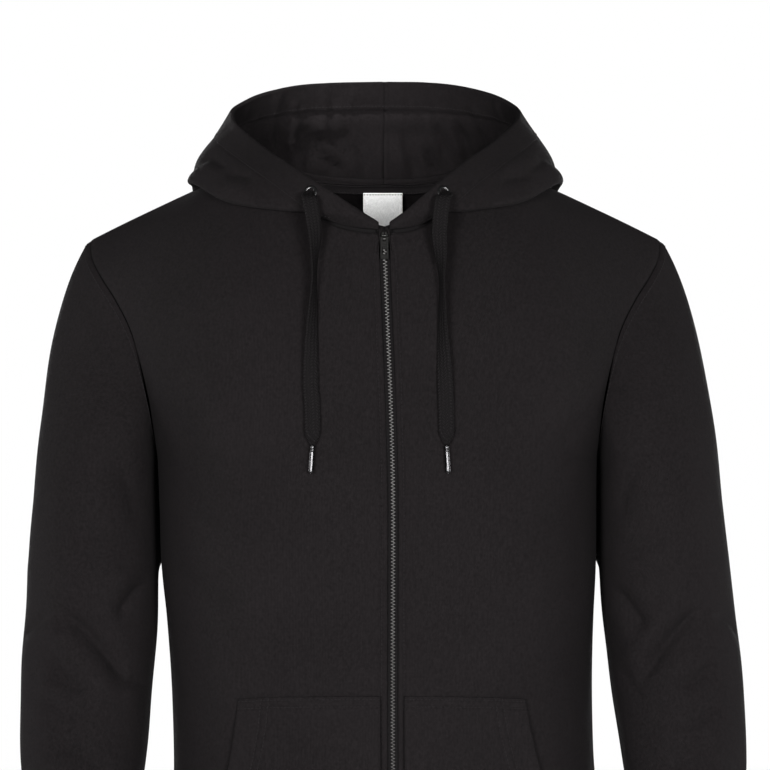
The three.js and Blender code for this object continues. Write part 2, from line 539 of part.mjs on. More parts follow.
function buildCloth() {
  const front = panelGrid("front");
  const back = panelGrid("back");
  const frontNormals = gridNormals(front, false, 1);
  const backNormals = gridNormals(back, false, -1);
  const frontEnd = front.length - 1;
  const backEnd = back.length - 1;
  const ring = [
    ...range(ROWS.above + 1).map((k) => ({ grid: front, normals: frontNormals, i: frontEnd, j: HEIGHTS - k })),
    ...range(ROWS.above - 1).map((k) => ({ grid: back, normals: backNormals, i: backEnd, j: ROWS.below + k + 1 })),
  ];
  const starts = ring.map((r, i) => {
    const top = Math.max(0, Math.cos((2 * Math.PI * i) / ring.length)) ** 4;
    return plus(r.grid[r.i][r.j], [SEAM_GAP + 0.5 * top, 0, 0]);
  });
  const rounds = ring.length;
  const sleeve = range(rounds).map((i) =>
    range(ROWS.sleeve + 1).map((j) => restOnBody(sleevePoint(starts[i], i / rounds, j / ROWS.sleeve))),
  );
  const plain = gridNormals(sleeve, true, 1);
  sleeve.forEach((line, i) => line.forEach((p, j) => (line[j] = plus(p, plain[i][j], -foldDepth(p, plain[i][j])))));
  const sleeveNormals = gridNormals(sleeve, true, 1);
  backNormals[0] = backNormals[0].map(([, y, z]) => unit([0, y, z]));
  for (let k = 0; k <= COLUMNS.shoulder; k++) {
    const f = frontEnd - k;
    const b = backEnd - k;
    const shared = unit(plus(frontNormals[f][HEIGHTS], backNormals[b][HEIGHTS]));
    frontNormals[f][HEIGHTS] = shared;
    backNormals[b][HEIGHTS] = shared;
    front[f][HEIGHTS] = plus(front[f][HEIGHTS], [0, -SEAM_GAP / 2, 0]);
    back[b][HEIGHTS] = plus(back[b][HEIGHTS], [0, SEAM_GAP / 2, 0]);
  }
  for (let j = 0; j <= ROWS.below; j++) {
    const shared = unit(plus(frontNormals[frontEnd][j], backNormals[backEnd][j]));
    frontNormals[frontEnd][j] = shared;
    backNormals[backEnd][j] = shared;
    const along = unit(minus(front[frontEnd][j], front[frontEnd - 1][j]));
    front[frontEnd][j] = plus(front[frontEnd][j], along, -SEAM_GAP / 2);
    back[backEnd][j] = plus(back[backEnd][j], along, SEAM_GAP / 2);
  }
  ring.forEach((r, i) => {
    const [body, arm] = shareNormal(r.normals[r.i][r.j], sleeveNormals[i][0]);
    if (i > 0 && i !== ROWS.above) r.normals[r.i][r.j] = body;
    sleeveNormals[i][0] = arm;
  });
  return { front, back, sleeve, frontNormals, backNormals, sleeveNormals };
}

const cloth = buildCloth();

// A grid and its inner side as one wall, on the side with that sign of X
function sidedWall(outer, inner, sign, closed = false) {
  const turn = (grid) => hung(sign < 0 ? mirror(grid) : grid);
  return wallGeometry(turn(outer), turn(inner), closed);
}

function makeBody() {
  for (const [side, sign] of Object.entries(SIDES)) {
    const inner = offset(cloth.front, cloth.frontNormals, -CLOTH);
    add(`front_${side}`, sidedWall(cloth.front, inner, sign), fleece);
    const sleeveInner = offset(cloth.sleeve, cloth.sleeveNormals, -CLOTH);
    add(`sleeve_${side}`, sidedWall(cloth.sleeve, sleeveInner, sign, true), fleece);
  }
  const inner = offset(cloth.back, cloth.backNormals, -CLOTH);
  const whole = (grid) => [...mirror(grid).reverse().slice(0, -1), ...grid];
  add("back", wallGeometry(hung(whole(cloth.back)), hung(whole(inner)), false), fleece);
}

// A ribbed band round a section that changes with height: sectionAt(share, z) gives the outer line at a level.
function ribbedBand(sectionAt, levels, ribs, closed) {
  const columns = 2 * ribs + (closed ? 0 : 1);
  const spans = closed ? columns : columns - 1;
  const plain = range(columns).map((i) => levels.map((z) => sectionAt(i / spans, z)));
  const normals = gridNormals(plain, closed, 1);
  const middle = plain.reduce((sum, row) => plus(sum, row[0], 1 / columns), [0, 0, 0]);
  const outward = dot(normals[0][0], minus(plain[0][0], middle)) > 0 ? 1 : -1;
  const outer = plain.map((row, i) =>
    row.map((p, j) => plus(p, normals[i][j], outward * (i % 2 && j > 0 && j < levels.length - 1 ? RIB_RISE : 0))),
  );
  return { outer, inner: offset(plain, normals, -outward * RIB_CLOTH) };
}

// The hem band draws the body in by this factor at a height
const hemDraw = (z) => 1 - 0.035 * Math.sin(((Math.PI / 2) * (HEM.top - z)) / (HEM.top - HEM.bottom));

function makeBands() {
  const drop = HEM.top - SEAM_GAP;
  const levels = [drop, HEM.top - HEM_EDGE, HEM.bottom + HEM_EDGE, HEM.bottom];
  const hemPoint = (share, z) => {
    const turn = lerp(-180, 180, share);
    const top = bodyPoint(HEM.top, 180 - Math.abs(turn));
    const draw = hemDraw(z);
    return [top[0] * draw * Math.sign(-turn || 1), SIDE_Y + (top[1] - SIDE_Y) * draw, z];
  };
  const band = ribbedBand(hemPoint, levels, HEM.ribs, false);
  add("hem_band", wallGeometry(hung(band.outer), hung(band.inner), false), rib);
  const top = SLEEVE[SLEEVE.length - 1];
  const cuffLevels = [CUFF.top, CUFF.top - 8, CUFF.bottom + 8, CUFF.bottom];
  const cuffPoint = (share, z) => {
    const t = (CUFF.top - z) / (CUFF.top - CUFF.bottom);
    const level = Object.fromEntries(Object.keys(CUFF_MOUTH).map((k) => [k, lerp(top[k], CUFF_MOUTH[k], t)]));
    return [...sleeveSection(level, 2 * Math.PI * share), z];
  };
  const cuff = ribbedBand(cuffPoint, cuffLevels, CUFF.ribs, true);
  for (const [side, sign] of Object.entries(SIDES)) {
    add(`cuff_${side}`, sidedWall(cuff.outer, cuff.inner, sign, true), rib);
  }
}

const hoodOuter = hoodGrid();
const hoodNormals = gridNormals(hoodOuter, false, 1);
hoodNormals[HOOD_GRID.stations].forEach((n) => (n[0] = 0));
const hoodInner = hoodOuter.map((row, i) =>
  row.map((p, j) => plus(p, hoodNormals[i][j], -CLOTH - (j > HOOD_GRID.steps ? HOOD_CASING.thickness : 0))),
);

function makeHood() {
  for (const [side, sign] of Object.entries(SIDES)) {
    add(`hood_${side}`, sidedWall(hoodOuter, hoodInner, sign), fleece);
  }
}

// How far round the front a point at that X lies, in degrees
function turnAt(x, z) {
  const reach = rowAt(BODY, "z", z).halfWidth - FRONT_EDGE;
  return (Math.asin(Math.min(1, (x - FRONT_EDGE) / reach) ** (1 / ROUNDNESS)) * 180) / Math.PI;
}

function makePockets() {
  const { steps } = POCKET;
  const edges = [...POCKET_EDGE].reverse();
  const grid = range(steps + 1).map((i) =>
    edges.map((edge, j) => {
      const share = i / steps;
      const z = j === edges.length - 1 ? POCKET.top - POCKET.cornerDrop * share ** 2 : edge.z;
      return bodyPoint(z, lerp(turnAt(POCKET.inner, z), turnAt(edge.x, z), share));
    }),
  );
  const normals = gridNormals(grid, false, 1);
  const inner = offset(grid, normals, POCKET.rise);
  const outer = offset(grid, normals, POCKET.rise + POCKET.thickness);
  for (const [side, sign] of Object.entries(SIDES)) {
    add(`pocket_${side}`, sidedWall(outer, inner, sign), fleece);
  }
}

// The centre front line, as the fronts and the hem band follow it: the depth of the outer face at a height
const hemLine = (z) => SIDE_Y + (BODY[0].front - SIDE_Y) * hemDraw(z);
const CENTRE_LINE = [
  ...[HEM.bottom, HEM.bottom + HEM_EDGE, HEM.top - HEM_EDGE, HEM.top - SEAM_GAP].map((z) => ({ z, y: hemLine(z) })),
  ...cloth.front[0].map((p) => ({ z: p[2], y: p[1] })),
];
function centreFront(z) {
  const above = CENTRE_LINE.filter((p) => p.z < z).length;
  const k = Math.min(Math.max(above, 1), CENTRE_LINE.length - 1);
  const [a, b] = [CENTRE_LINE[k - 1], CENTRE_LINE[k]];
  return lerp(a.y, b.y, (z - a.z) / (b.z - a.z));
}

// A strip that follows the centre front between two heights: from x0 to x1, and its depth behind the outer face,
// which falls away from the middle as the body rounds.
function strip(x0, x1, front, backOf, bottom, top) {
  const fall = (x) => ZIP.fall * Math.max(0, Math.abs(x) - FRONT_EDGE);
  const levels = [bottom, ...CENTRE_LINE.map((p) => p.z).filter((z) => z > bottom + 2 && z < top - 2), top];
  const face = (depth) => [x0, x1].map((x) => levels.map((z) => [x, centreFront(z) + depth + fall(x), z]));
  return wallGeometry(hung(face(front)), hung(face(backOf)), false);
}

function makeZip() {
  const half = ZIP.teeth / 2;
  const boxTop = HEM.bottom + 1 + ZIP.box;
  const chainBottom = boxTop + LAID_GAP;
  add("zip_chain", strip(-half, half, ZIP.recess, ZIP.recess + ZIP.depth, chainBottom, ZIP.top), nickel);
  const boxDepth = [ZIP.recess - 0.5, ZIP.recess + ZIP.depth + 0.5];
  add("zip_box", strip(-ZIP.boxHalf, ZIP.boxHalf, ...boxDepth, HEM.bottom + 1, boxTop), nickel);
  const tapeFront = CLOTH + LAID_GAP;
  const stop = [ZIP.recess, ZIP.recess + ZIP.depth, ZIP.stopBottom, ZIP.stopTop];
  for (const [side, sign] of Object.entries(SIDES)) {
    const across = (from, to) => [from * sign, to * sign].sort((a, b) => a - b);
    const x0 = half + LAID_GAP;
    const tape = strip(...across(x0, x0 + ZIP.tape), tapeFront, tapeFront + ZIP.tapeThickness, chainBottom, ZIP.stopBottom - LAID_GAP);
    add(`zip_tape_${side}`, tape, tapeCloth);
    add(`zip_stop_${side}`, strip(...across(0.5, half), ...stop), nickel);
  }
}

// The small hardware is joined and cut as solids: a geometry becomes a solid, and the finished one a geometry again.
const wasm = await Module();
wasm.setup();
function solidOf(geometry) {
  const bare = geometry.clone();
  bare.deleteAttribute("normal");
  bare.deleteAttribute("uv");
  const merged = mergeVertices(bare, 1e-4);
  const vertProperties = merged.getAttribute("position").array;
  const triVerts = new Uint32Array(merged.getIndex().array);
  return new wasm.Manifold(new wasm.Mesh({ numProp: 3, vertProperties, triVerts }));
}
const block = (w, d, h, x, y, z) => solidOf(new THREE.BoxGeometry(w, d, h).translate(x, y, z));
const rodAlongX = (radius, long) => solidOf(new THREE.CylinderGeometry(radius, radius, long, 16).rotateZ(Math.PI / 2));
const diskAlongZ = (radiusLow, radiusHigh, long) =>
  solidOf(new THREE.CylinderGeometry(radiusHigh, radiusLow, long, 24).rotateX(Math.PI / 2).translate(0, 0, long / 2));
function geometryOf(made) {
  const mesh = made.getMesh();
  const geometry = new THREE.BufferGeometry();
  const count = mesh.vertProperties.length / mesh.numProp;
  const at = (i) => [...mesh.vertProperties.slice(i * mesh.numProp, i * mesh.numProp + 3)];
  geometry.setAttribute("position", new THREE.Float32BufferAttribute(range(count).flatMap(at), 3));
  geometry.setIndex([...mesh.triVerts]);
  return geometry;
}

// The slider, drawn with its front face at y = 0 and its top at z = 0: two plates, the post between them, and the
// ring that carries the pull.
function sliderSolid() {
  const { width, height, plate, waist } = SLIDER;
  const gap = ZIP.depth + 2 * LAID_GAP;
  const corners = [[-width / 2, -1], [-width * waist, -height], [width * waist, -height], [width / 2, -1], [0, 0]];
  const outline = new THREE.Shape(corners.map(([x, z]) => new THREE.Vector2(x, z)));
  const thick = { depth: plate, bevelEnabled: false };
  const plateAt = (y) =>
    solidOf(new THREE.ExtrudeGeometry(outline, thick).rotateX(Math.PI / 2).translate(0, y + plate, 0));
  const post = block(SLIDER_POST.width, gap + plate, SLIDER_POST.height, 0, plate + gap / 2, SLIDER_POST.z);
  const eye = rodAlongX(SLIDER.ringIn, SLIDER.ringWidth + 1);
  const ring = rodAlongX(SLIDER.ringOut, SLIDER.ringWidth).subtract(eye);
  return plateAt(0).add(plateAt(plate + gap)).add(post).add(ring.translate([0, -SLIDER.ringAt, -SLIDER.barDrop]));
}

// The pull, drawn hanging from its bar at the origin: two arms past the ring, a tab and a window through it.
function pullSolid() {
  const { width, long, thickness, bar, slot, slotHalf, window, windowHalf } = PULL;
  const tab = block(width, thickness, long + bar, 0, 0, (bar - long) / 2);
  const cut = block(2 * slotHalf, thickness + 1, slot + 1, 0, 0, (1 - slot) / 2 + 0.4);
  const [top, bottom] = window;
  const hole = block(2 * windowHalf, thickness + 1, top - bottom, 0, 0, (top + bottom) / 2);
  return tab.subtract(cut).subtract(hole).add(rodAlongX(bar, width));
}

function makeSlider() {
  const top = ZIP.stopBottom - SLIDER_BELOW_STOPS;
  const face = centreFront(top) + ZIP.recess - LAID_GAP - SLIDER.plate;
  const lower = top - SLIDER.height;
  const slope = Math.atan((centreFront(top) - centreFront(lower)) / SLIDER.height);
  const frame = new THREE.Matrix4()
    .makeTranslation(...hang([0, face, top]))
    .multiply(new THREE.Matrix4().makeRotationX(-slope));
  add("zip_slider", geometryOf(sliderSolid()).applyMatrix4(frame), nickel);
  frame.multiply(new THREE.Matrix4().makeTranslation(0, -SLIDER.ringAt, -SLIDER.barDrop));
  add("zip_pull", geometryOf(pullSolid()).applyMatrix4(frame), nickel);
  hoodie.userData.pullBar = new THREE.Vector3().setFromMatrixPosition(frame).toArray();
}

// The point of the hood's outer wall at a station, a distance in from the rim, with the way the wall faces there.
function onHood(station, fromRim) {
  const at = (station / (HOOD.length - 1)) * HOOD_GRID.stations;
  const k = Math.min(Math.floor(at), HOOD_GRID.stations - 1);
  const pick = (grid) => grid[k].map((p, j) => mix(p, grid[k + 1][j], at - k)).reverse();
  const line = pick(hoodOuter);
  const normals = pick(hoodNormals);
  let left = fromRim;
  let j = 0;
  while (left > length(minus(line[j + 1], line[j]))) {
    left -= length(minus(line[j + 1], line[j]));
    j += 1;
  }
  const t = left / length(minus(line[j + 1], line[j]));
  return { point: mix(line[j], line[j + 1], t), normal: unit(mix(normals[j], normals[j + 1], t)) };
}

const EYELET_PLACE = onHood(EYELET.at, EYELET.fromRim);
function makeEyelets() {
  const { outer, inner, rise, lift } = EYELET;
  const hole = diskAlongZ(inner, inner, rise + 2).translate([0, 0, -1]);
  const ring = diskAlongZ(outer, outer - EYELET.chamfer, rise).subtract(hole);
  const { point, normal } = EYELET_PLACE;
  for (const [side, sign] of Object.entries(SIDES)) {
    const facing = new THREE.Vector3(normal[0] * sign, normal[1], normal[2]);
    const turn = new THREE.Quaternion().setFromUnitVectors(new THREE.Vector3(0, 0, 1), facing);
    const geometry = geometryOf(ring).applyQuaternion(turn);
    const place = hang([point[0] * sign, point[1], point[2]]);
    geometry.translate(...plus(place, [facing.x, facing.y, facing.z], lift));
    add(`eyelet_${side}`, geometry, darkMetal);
  }
}

// A drawcord: a flat section carried along its route, turned about it as each point says, and narrowed at its end.
function cordGeometry(route, tip) {
  const { width, thickness, sides, steps, neckLength } = CORD;
  const keys = route.map((_, i) => i);
  const at = (u) => [0, 1, 2, 3].map((k) => smoothCurve(keys, route.map((p) => p[k]), u));
  const end = route.length - 1;
  const along = range(steps + 1).map((i) => (end * i) / steps);
  const rings = along.map((u) => {
    const [x, y, z, turn] = at(u);
    const ahead = at(Math.min(u + 0.05, end)).slice(0, 3);
    const behind = at(Math.max(u - 0.05, 0)).slice(0, 3);
    const t = unit(minus(ahead, behind));
    const side = unit(plus([1, 0, 0], t, -t[0]));
    const face = cross(side, t);
    const a = radians(turn);
    const w = plus(side.map((v) => v * Math.cos(a)), face, Math.sin(a));
    const n = cross(w, t);
    const left = length(minus([x, y, z], tip)) - AGLET.length;
    const out = CORD.mouth + length(minus([x, y, z], route[0].slice(0, 3)));
    const narrow = Math.min(1, Math.max(0, left / neckLength), out / neckLength);
    const halfWidth = lerp(AGLET.radius * 0.8, width / 2, Math.sin((narrow * Math.PI) / 2));
    const halfDeep = lerp(AGLET.radius * 0.7, thickness / 2, narrow);
    return range(sides).map((k) => {
      const b = (2 * Math.PI * (k + 0.5)) / sides;
      const round = [Math.sign(Math.cos(b)) * Math.abs(Math.cos(b)) ** 0.7, Math.sin(b)];
      return plus(plus([x, y, z], w, halfWidth * round[0]), n, halfDeep * round[1]);
    });
  });
  return tubeGeometry(rings);
}

// A closed tube through rings of points, with a flat end at each side
function tubeGeometry(rings) {
  const sides = rings[0].length;
  const positions = rings.flat(2);
  const index = [];
  const last = rings.length - 1;
  for (let i = 0; i < last; i++) {
    for (let k = 0; k < sides; k++) {
      const next = (k + 1) % sides;
      const [a, b, c, d] = [i * sides + k, i * sides + next, (i + 1) * sides + next, (i + 1) * sides + k];
      index.push(a, b, c, a, c, d);
    }
  }
  for (let k = 1; k < sides - 1; k++) {
    index.push(0, k + 1, k, last * sides, last * sides + k, last * sides + k + 1);
  }
  const geometry = new THREE.BufferGeometry();
  geometry.setAttribute("position", new THREE.Float32BufferAttribute(positions, 3));
  geometry.setIndex(index);
  return faceOut(geometry);
}

function makeCords() {
  const { point, normal } = EYELET_PLACE;
  for (const [side, sign] of Object.entries(SIDES)) {
    const facing = [normal[0] * sign, normal[1], normal[2]];
    const mouth = plus(hang([point[0] * sign, point[1], point[2]]), facing, EYELET.lift + EYELET.rise + SEAM_GAP);
    const drop = plus(plus(mouth, facing, CORD.bend), [0, 0, -0.8 * CORD.bend]);
    const route = [[...mouth, 0], [...drop, 0], ...CORD_ROUTES[side]];
    const tip = CORD_TIPS[side];
    add(`drawcord_${side}`, cordGeometry(route, tip), braid);
    const start = route[route.length - 1].slice(0, 3);
    const axis = unit(minus(tip, start));
    const flat = unit(cross(axis, [0, 1, 0]));
    const deep = cross(flat, axis);
    const radii = [0.85, 1, 1, 0.75];
    const stops = [SEAM_GAP, 2, AGLET.length - 2, AGLET.length];
    const rings = stops.map((d, i) =>
      range(AGLET.sides).map((k) => {
        const b = (2 * Math.PI * k) / AGLET.sides;
        const r = AGLET.radius * radii[i];
        return plus(plus(plus(start, axis, d), flat, r * Math.cos(b)), deep, r * Math.sin(b));
      }),
    );
    add(`aglet_${side}`, tubeGeometry(rings), darkMetal);
  }
}

// The neck tape lies on the inside of the back's top edge, and the blank label hangs from it.
function makeNeck() {
  const inner = offset(cloth.back, cloth.backNormals, -CLOTH);
  const columns = range(COLUMNS.backNeck + 1);
  const near = columns.map((i) => {
    const [low, high] = [inner[i][HEIGHTS - 1], inner[i][HEIGHTS]];
    const down = (d) => mix(high, low, d / length(minus(high, low)));
    return [down(1), down(1 + NECK_TAPE.height)];
  });
  const facing = (i) => unit(plus(cloth.backNormals[i][HEIGHTS], cloth.backNormals[i][HEIGHTS - 1], 0.5));
  const lift = (by) => near.map((row, i) => row.map((p, j) => plus(p, facing(i), -by - j * NECK_TAPE.rise)));
  const whole = (grid) => [...mirror(grid).reverse().slice(0, -1), ...grid];
  const faces = [NECK_TAPE.rise, NECK_TAPE.rise + NECK_TAPE.thickness].map((by) => hung(whole(lift(by))));
  add("neck_tape", wallGeometry(faces[0], faces[1], false), fleece);
  const { width, height, thickness, top, y, bow } = LABEL;
  const sheet = (back) =>
    range(5).map((i) =>
      range(5).map((j) => {
        const across = (i - 2) / 2;
        return [(across * width) / 2, y + back - bow * Math.sin((Math.PI * j) / 4) * (1 - across ** 2), top - (height * j) / 4];
      }),
    );
  add("label", wallGeometry(hung(sheet(0)), hung(sheet(thickness)), false), satin);
}

makeBody();
makeBands();
makeHood();
makePockets();
makeZip();
makeSlider();
makeEyelets();
makeCords();
makeNeck();

export default hoodie;
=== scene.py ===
"""A zip-up hooded sweatshirt of near-black cotton fleece, filled out as it is in wear, with its hood down.

Lengths are millimetres in the garment's own frame: +Z up, the front facing -Y, the origin midway between
the high points of the shoulder seams. A surface is a grid of points worked out as whole arrays, and a piece
of cloth is the closed wall between an outer and an inner grid."""

import bpy
import numpy as np
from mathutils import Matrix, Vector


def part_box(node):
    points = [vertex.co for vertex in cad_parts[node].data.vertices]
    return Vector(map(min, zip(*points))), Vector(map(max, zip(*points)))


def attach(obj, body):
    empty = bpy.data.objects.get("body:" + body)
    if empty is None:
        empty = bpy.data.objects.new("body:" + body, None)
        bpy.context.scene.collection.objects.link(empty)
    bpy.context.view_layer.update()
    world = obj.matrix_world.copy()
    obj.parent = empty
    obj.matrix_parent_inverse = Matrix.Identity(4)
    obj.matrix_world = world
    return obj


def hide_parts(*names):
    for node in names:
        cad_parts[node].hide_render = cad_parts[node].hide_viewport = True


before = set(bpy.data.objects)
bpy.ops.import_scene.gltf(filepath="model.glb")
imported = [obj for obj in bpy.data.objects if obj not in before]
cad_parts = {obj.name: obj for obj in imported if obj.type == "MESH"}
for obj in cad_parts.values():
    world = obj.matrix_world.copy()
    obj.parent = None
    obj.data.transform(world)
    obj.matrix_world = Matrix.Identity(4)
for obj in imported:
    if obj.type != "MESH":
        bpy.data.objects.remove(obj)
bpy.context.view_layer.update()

MM = 0.001
OUT_OF_VIEW_FLOOR = {"radius": 1400, "below_hem": 16}

# Sizes of the cloth and of the pattern's main lines
CLOTH = 2.2
RIB_CLOTH = 2.4
SEAM_GAP = 0.35
LAID_GAP = 0.3
ARMPIT_Z = -262
NECK = {"half_width": 90, "front_drop": 70, "front_y": -104, "back_drop": 18, "back_y": 72, "curve": 0.92}
NECK_POWERS = {"front_y": 0.7, "back_y": 0.75, "front_drop": 1.15, "back_drop": 0.85}
SHOULDER_TIP = np.array([252.0, 8.0, -72.0])
SHOULDER_RISE = 3
HEM = {"top": -655, "bottom": -720, "ribs": 228, "draw": 0.035}
CUFF = {"top": -621, "bottom": -686, "ribs": 54}
RIB_FORM = {"rise": 0.95, "roundness": 0.6, "edge": 8, "edge_share": 0.35}
FRONT_EDGE = 4.5
LEAN = {"curve": 2.8e-5, "until": -540, "slope": 0.012}
CENTRE_SPREAD = 50
SIDE_Y = 3
ROUNDNESS = 0.84
EDGE_BLEND = 1.6
CORNER_EASE = {"reach": 0.2, "spread": 0.6, "from": 0.35, "shifts": 9}
FRONT_CORNER = 4 / 12
BACK_CORNER = 3 / 11
FRONT_NECK_SHARE = 0.6


def table(names, *rows):
    """A table as one array for each named column."""
    columns = np.array(rows, float).T
    return dict(zip(names.split(), columns))


DRIFT = table(
    "z by",
    (-720, 6), (-525, 7.9), (-400, 11), (-290, 13.2),
    (-221, 12.5), (-137, 10), (-90, 8.5), (100, 8.5),
)
BODY = table(
    "z half front back seam",
    (-655, 178, -117, 104, 75),
    (-628, 186, -123, 110, 76),
    (-580, 185.6, -125, 111, 78),
    (-520, 184.6, -125, 111, 81),
    (-460, 184.8, -127, 112, 85),
    (-400, 187.6, -131, 115, 88),
    (-350, 191, -136, 119, 90),
    (-300, 192.2, -140, 124, 90),
    (-262, 193.2, -141.5, 127, 90),
)
CENTRE_ABOVE = table(
    "z front back",
    (-262, -141.5, 127),
    (-220, -137, 127.5),
    (-180, -130.5, 124.5),
    (-130, -119.5, 115),
    (-95, -110.5, 103),
    (-70, -104, 93),
    (-40, -98, 80.5),
    (-18, -96, 72),
)
ARMHOLE = table(
    "x z front back",
    (193.2, -262, 3, 3),
    (193.8, -243, -32, 40),
    (197, -214, -54, 63),
    (204, -183, -58, 68),
    (213.5, -152, -51, 63),
    (227, -126, -39, 53),
    (240, -106, -25, 40),
    (249.5, -88, -8, 24),
    (252, -72, 8, 8),
)
SLEEVE = table(
    "z inner outer front back",
    (-621, 230, 305, -76, 0),
    (-606, 222, 313, -81, 18),
    (-580, 217, 316, -77, 29),
    (-545, 211.5, 317.5, -71, 38),
    (-512, 207, 318, -66, 45),
    (-477, 203, 317.5, -61, 52),
    (-440, 199.4, 316, -57, 59),
    (-400, 195.6, 312.5, -57, 64),
    (-350, 194.2, 307.5, -61, 64),
    (-300, 194.4, 302.5, -66, 62),
)
SLEEVE_HEAD = {"out": 33, "down": 50, "end_out": 5, "end_down": 70, "gap": 0.5}
SLEEVE_ROUNDNESS = 0.92
REST = {
    "y": 27, "spread": 17, "from": -262, "full": -271, "until": -346, "end": -372, "gap": 1.6, "inside": 240,
}
CUFF_MOUTH = {"inner": 234, "outer": 301, "front": -74, "back": -6}
HOOD = table(
    "at neck open foldx foldy foldz rimx rimy rimz lift sag tuck belly",
    (0, 0, 0, 4.5, -106, -66, 4.5, -106, -61, 0, 0, 0, 0),
    (1, 0.15, 0, 27, -109, -58, 22, -108, -49, 0, 0, 0, 1),
    (2, 0.225, 0.15, 57, -105, -51, 44, -106, -33, 6, 2, 0, 2),
    (3, 0.3, 0.4, 80, -97, -50, 62, -94, -19, 11, 2, 0, 3),
    (4, 0.45, 0.9, 108, -84, -46, 80, -72, -5, 13, 6, 0, 4),
    (5, 0.525, 1, 136, -61, -38, 101, -40, 11, 12, 8, 0, 5),
    (6, 0.6, 1, 161, -14, -23, 122, 0, 30, 10, 2, 0, 6),
    (7, 0.6667, 1, 161, 34, -28, 128.5, 38, 43, 12, 4, 0, 8),
    (8, 0.7333, 1, 157, 86, -60, 125, 68, 52, 12, 12, 3, 10),
    (9, 0.8, 1, 137, 130, -100, 106.5, 97, 64, 12, 26, 6, 12),
    (10, 0.8667, 1, 104, 160, -138, 76, 117, 73, 10, 42, 9, 12),
    (11, 0.9333, 1, 57, 178, -162, 40, 128, 77, 8, 52, 11, 12),
    (12, 1, 1, 0, 184, -170, 0, 131, 78, 8, 56, 12, 12),
)
HOOD_KNOTS = (0, 0.21, 0.41, 0.53, 0.77, 1)
HOOD_GAP = 1.5 * SEAM_GAP
HOOD_INNER = 0.45
HOOD_BOTTOM = 0.84
CASING = {"width": 25, "thickness": 2.4, "edge": 1.2}
POCKET = {
    "top": -463, "drop": 4, "inner": 10, "bottom": -654.6,
    "thickness": 2, "rise": 0.9, "folds": 0.9, "uneven": 0.5,
}
POCKET_EDGE = table(
    "z x",
    (-654.6, 160), (-618, 160), (-600, 155), (-565, 142), (-525, 131), (-495, 125), (-467, 122),
)
POCKET_STITCHES = (("last", 22), ("last", 29), ("high", 2.5), ("high", 9))
POCKET_GAPE = {"depth": 2.2, "width": 14, "ends": 40}
ZIP = {"fall": 0.09, "recess": 1.4, "depth": 2.6, "bottom": -708.7, "top": -77, "tape": 13, "tape_cloth": 0.8}
TAPE_STEP = {"edge": 0.35, "under": 0.8, "from": 2.2, "over": 2.0}
TOOTH = {"pitch": 2.9, "height": 1.35, "reach": 2.05, "overlap": 0.7, "chamfer": 0.55}
EYELET = {
    "outer": 6.3, "inner": 3.2, "rise": 1.2,
    "seat": 0.2, "swell": 1.15, "power": 0.75, "underside": 0.15,
}
CORD = {"width": 13, "thickness": 2.2, "bend": 6, "neck": 14, "mouth": 2.5, "steps": 150, "sides": 20}
CORD_ENDS = {"opening": 0.75, "width": 0.8, "depth": 0.7, "roundness": 0.7}
AGLET = {
    "radius": 2.1, "length": 24, "tip": 21.6, "blunt": 0.12, "tip_power": 2.2,
    "crimps": (3.2, 5.0), "crimp": 0.22, "crimp_width": 0.45, "start_width": 0.5,
}
LABEL = {
    "width": 35.4, "height": 50, "thickness": 0.7, "top": -27.5, "y": 67.4,
    "bow": 1.5, "curl": 0.5, "curl_across": 3.2, "curl_down": 4,
}
ALLOWANCE = {"until": 0.28, "above": 4, "below": 1.5, "off": 1.6, "thickness": 1.2}
NECK_TAPE = {"height": 10, "thickness": 1, "rise": 1.15}
PLAIT = {"depth": 0.12, "pitch": 3.2}

# The drawcords' routes as they hang, from in front of each eyelet: X, Y, Z and the flat cord's turn in
# degrees
CORD_ROUTES = {
    "right": (
        (-54.4, -118.8, -44, 4),
        (-50.6, -122.8, -69, 30),
        (-50.8, -125.8, -90, 62),
        (-51.0, -128.8, -112, 72),
        (-52.8, -133.4, -154, 40),
        (-53.8, -138, -196, 5),
        (-52.6, -140.2, -219, 0),
        (-52.0, -142.4, -250.5, 0),
    ),
    "left": (
        (57.6, -118.8, -43, -3),
        (54.8, -122.8, -69, -10),
        (55.9, -125.8, -90, -40),
        (56.9, -128.8, -112, -70),
        (57.4, -133.4, -154, -50),
        (59.3, -138, -196, -10),
        (60.2, -140.2, -219, 0),
        (60.6, -142.4, -250.5, 0),
    ),
}
CORD_TIPS = {"right": (-53.6, -143.4, -275), "left": (62, -143.4, -275)}
SIDES = {"right": -1, "left": 1}

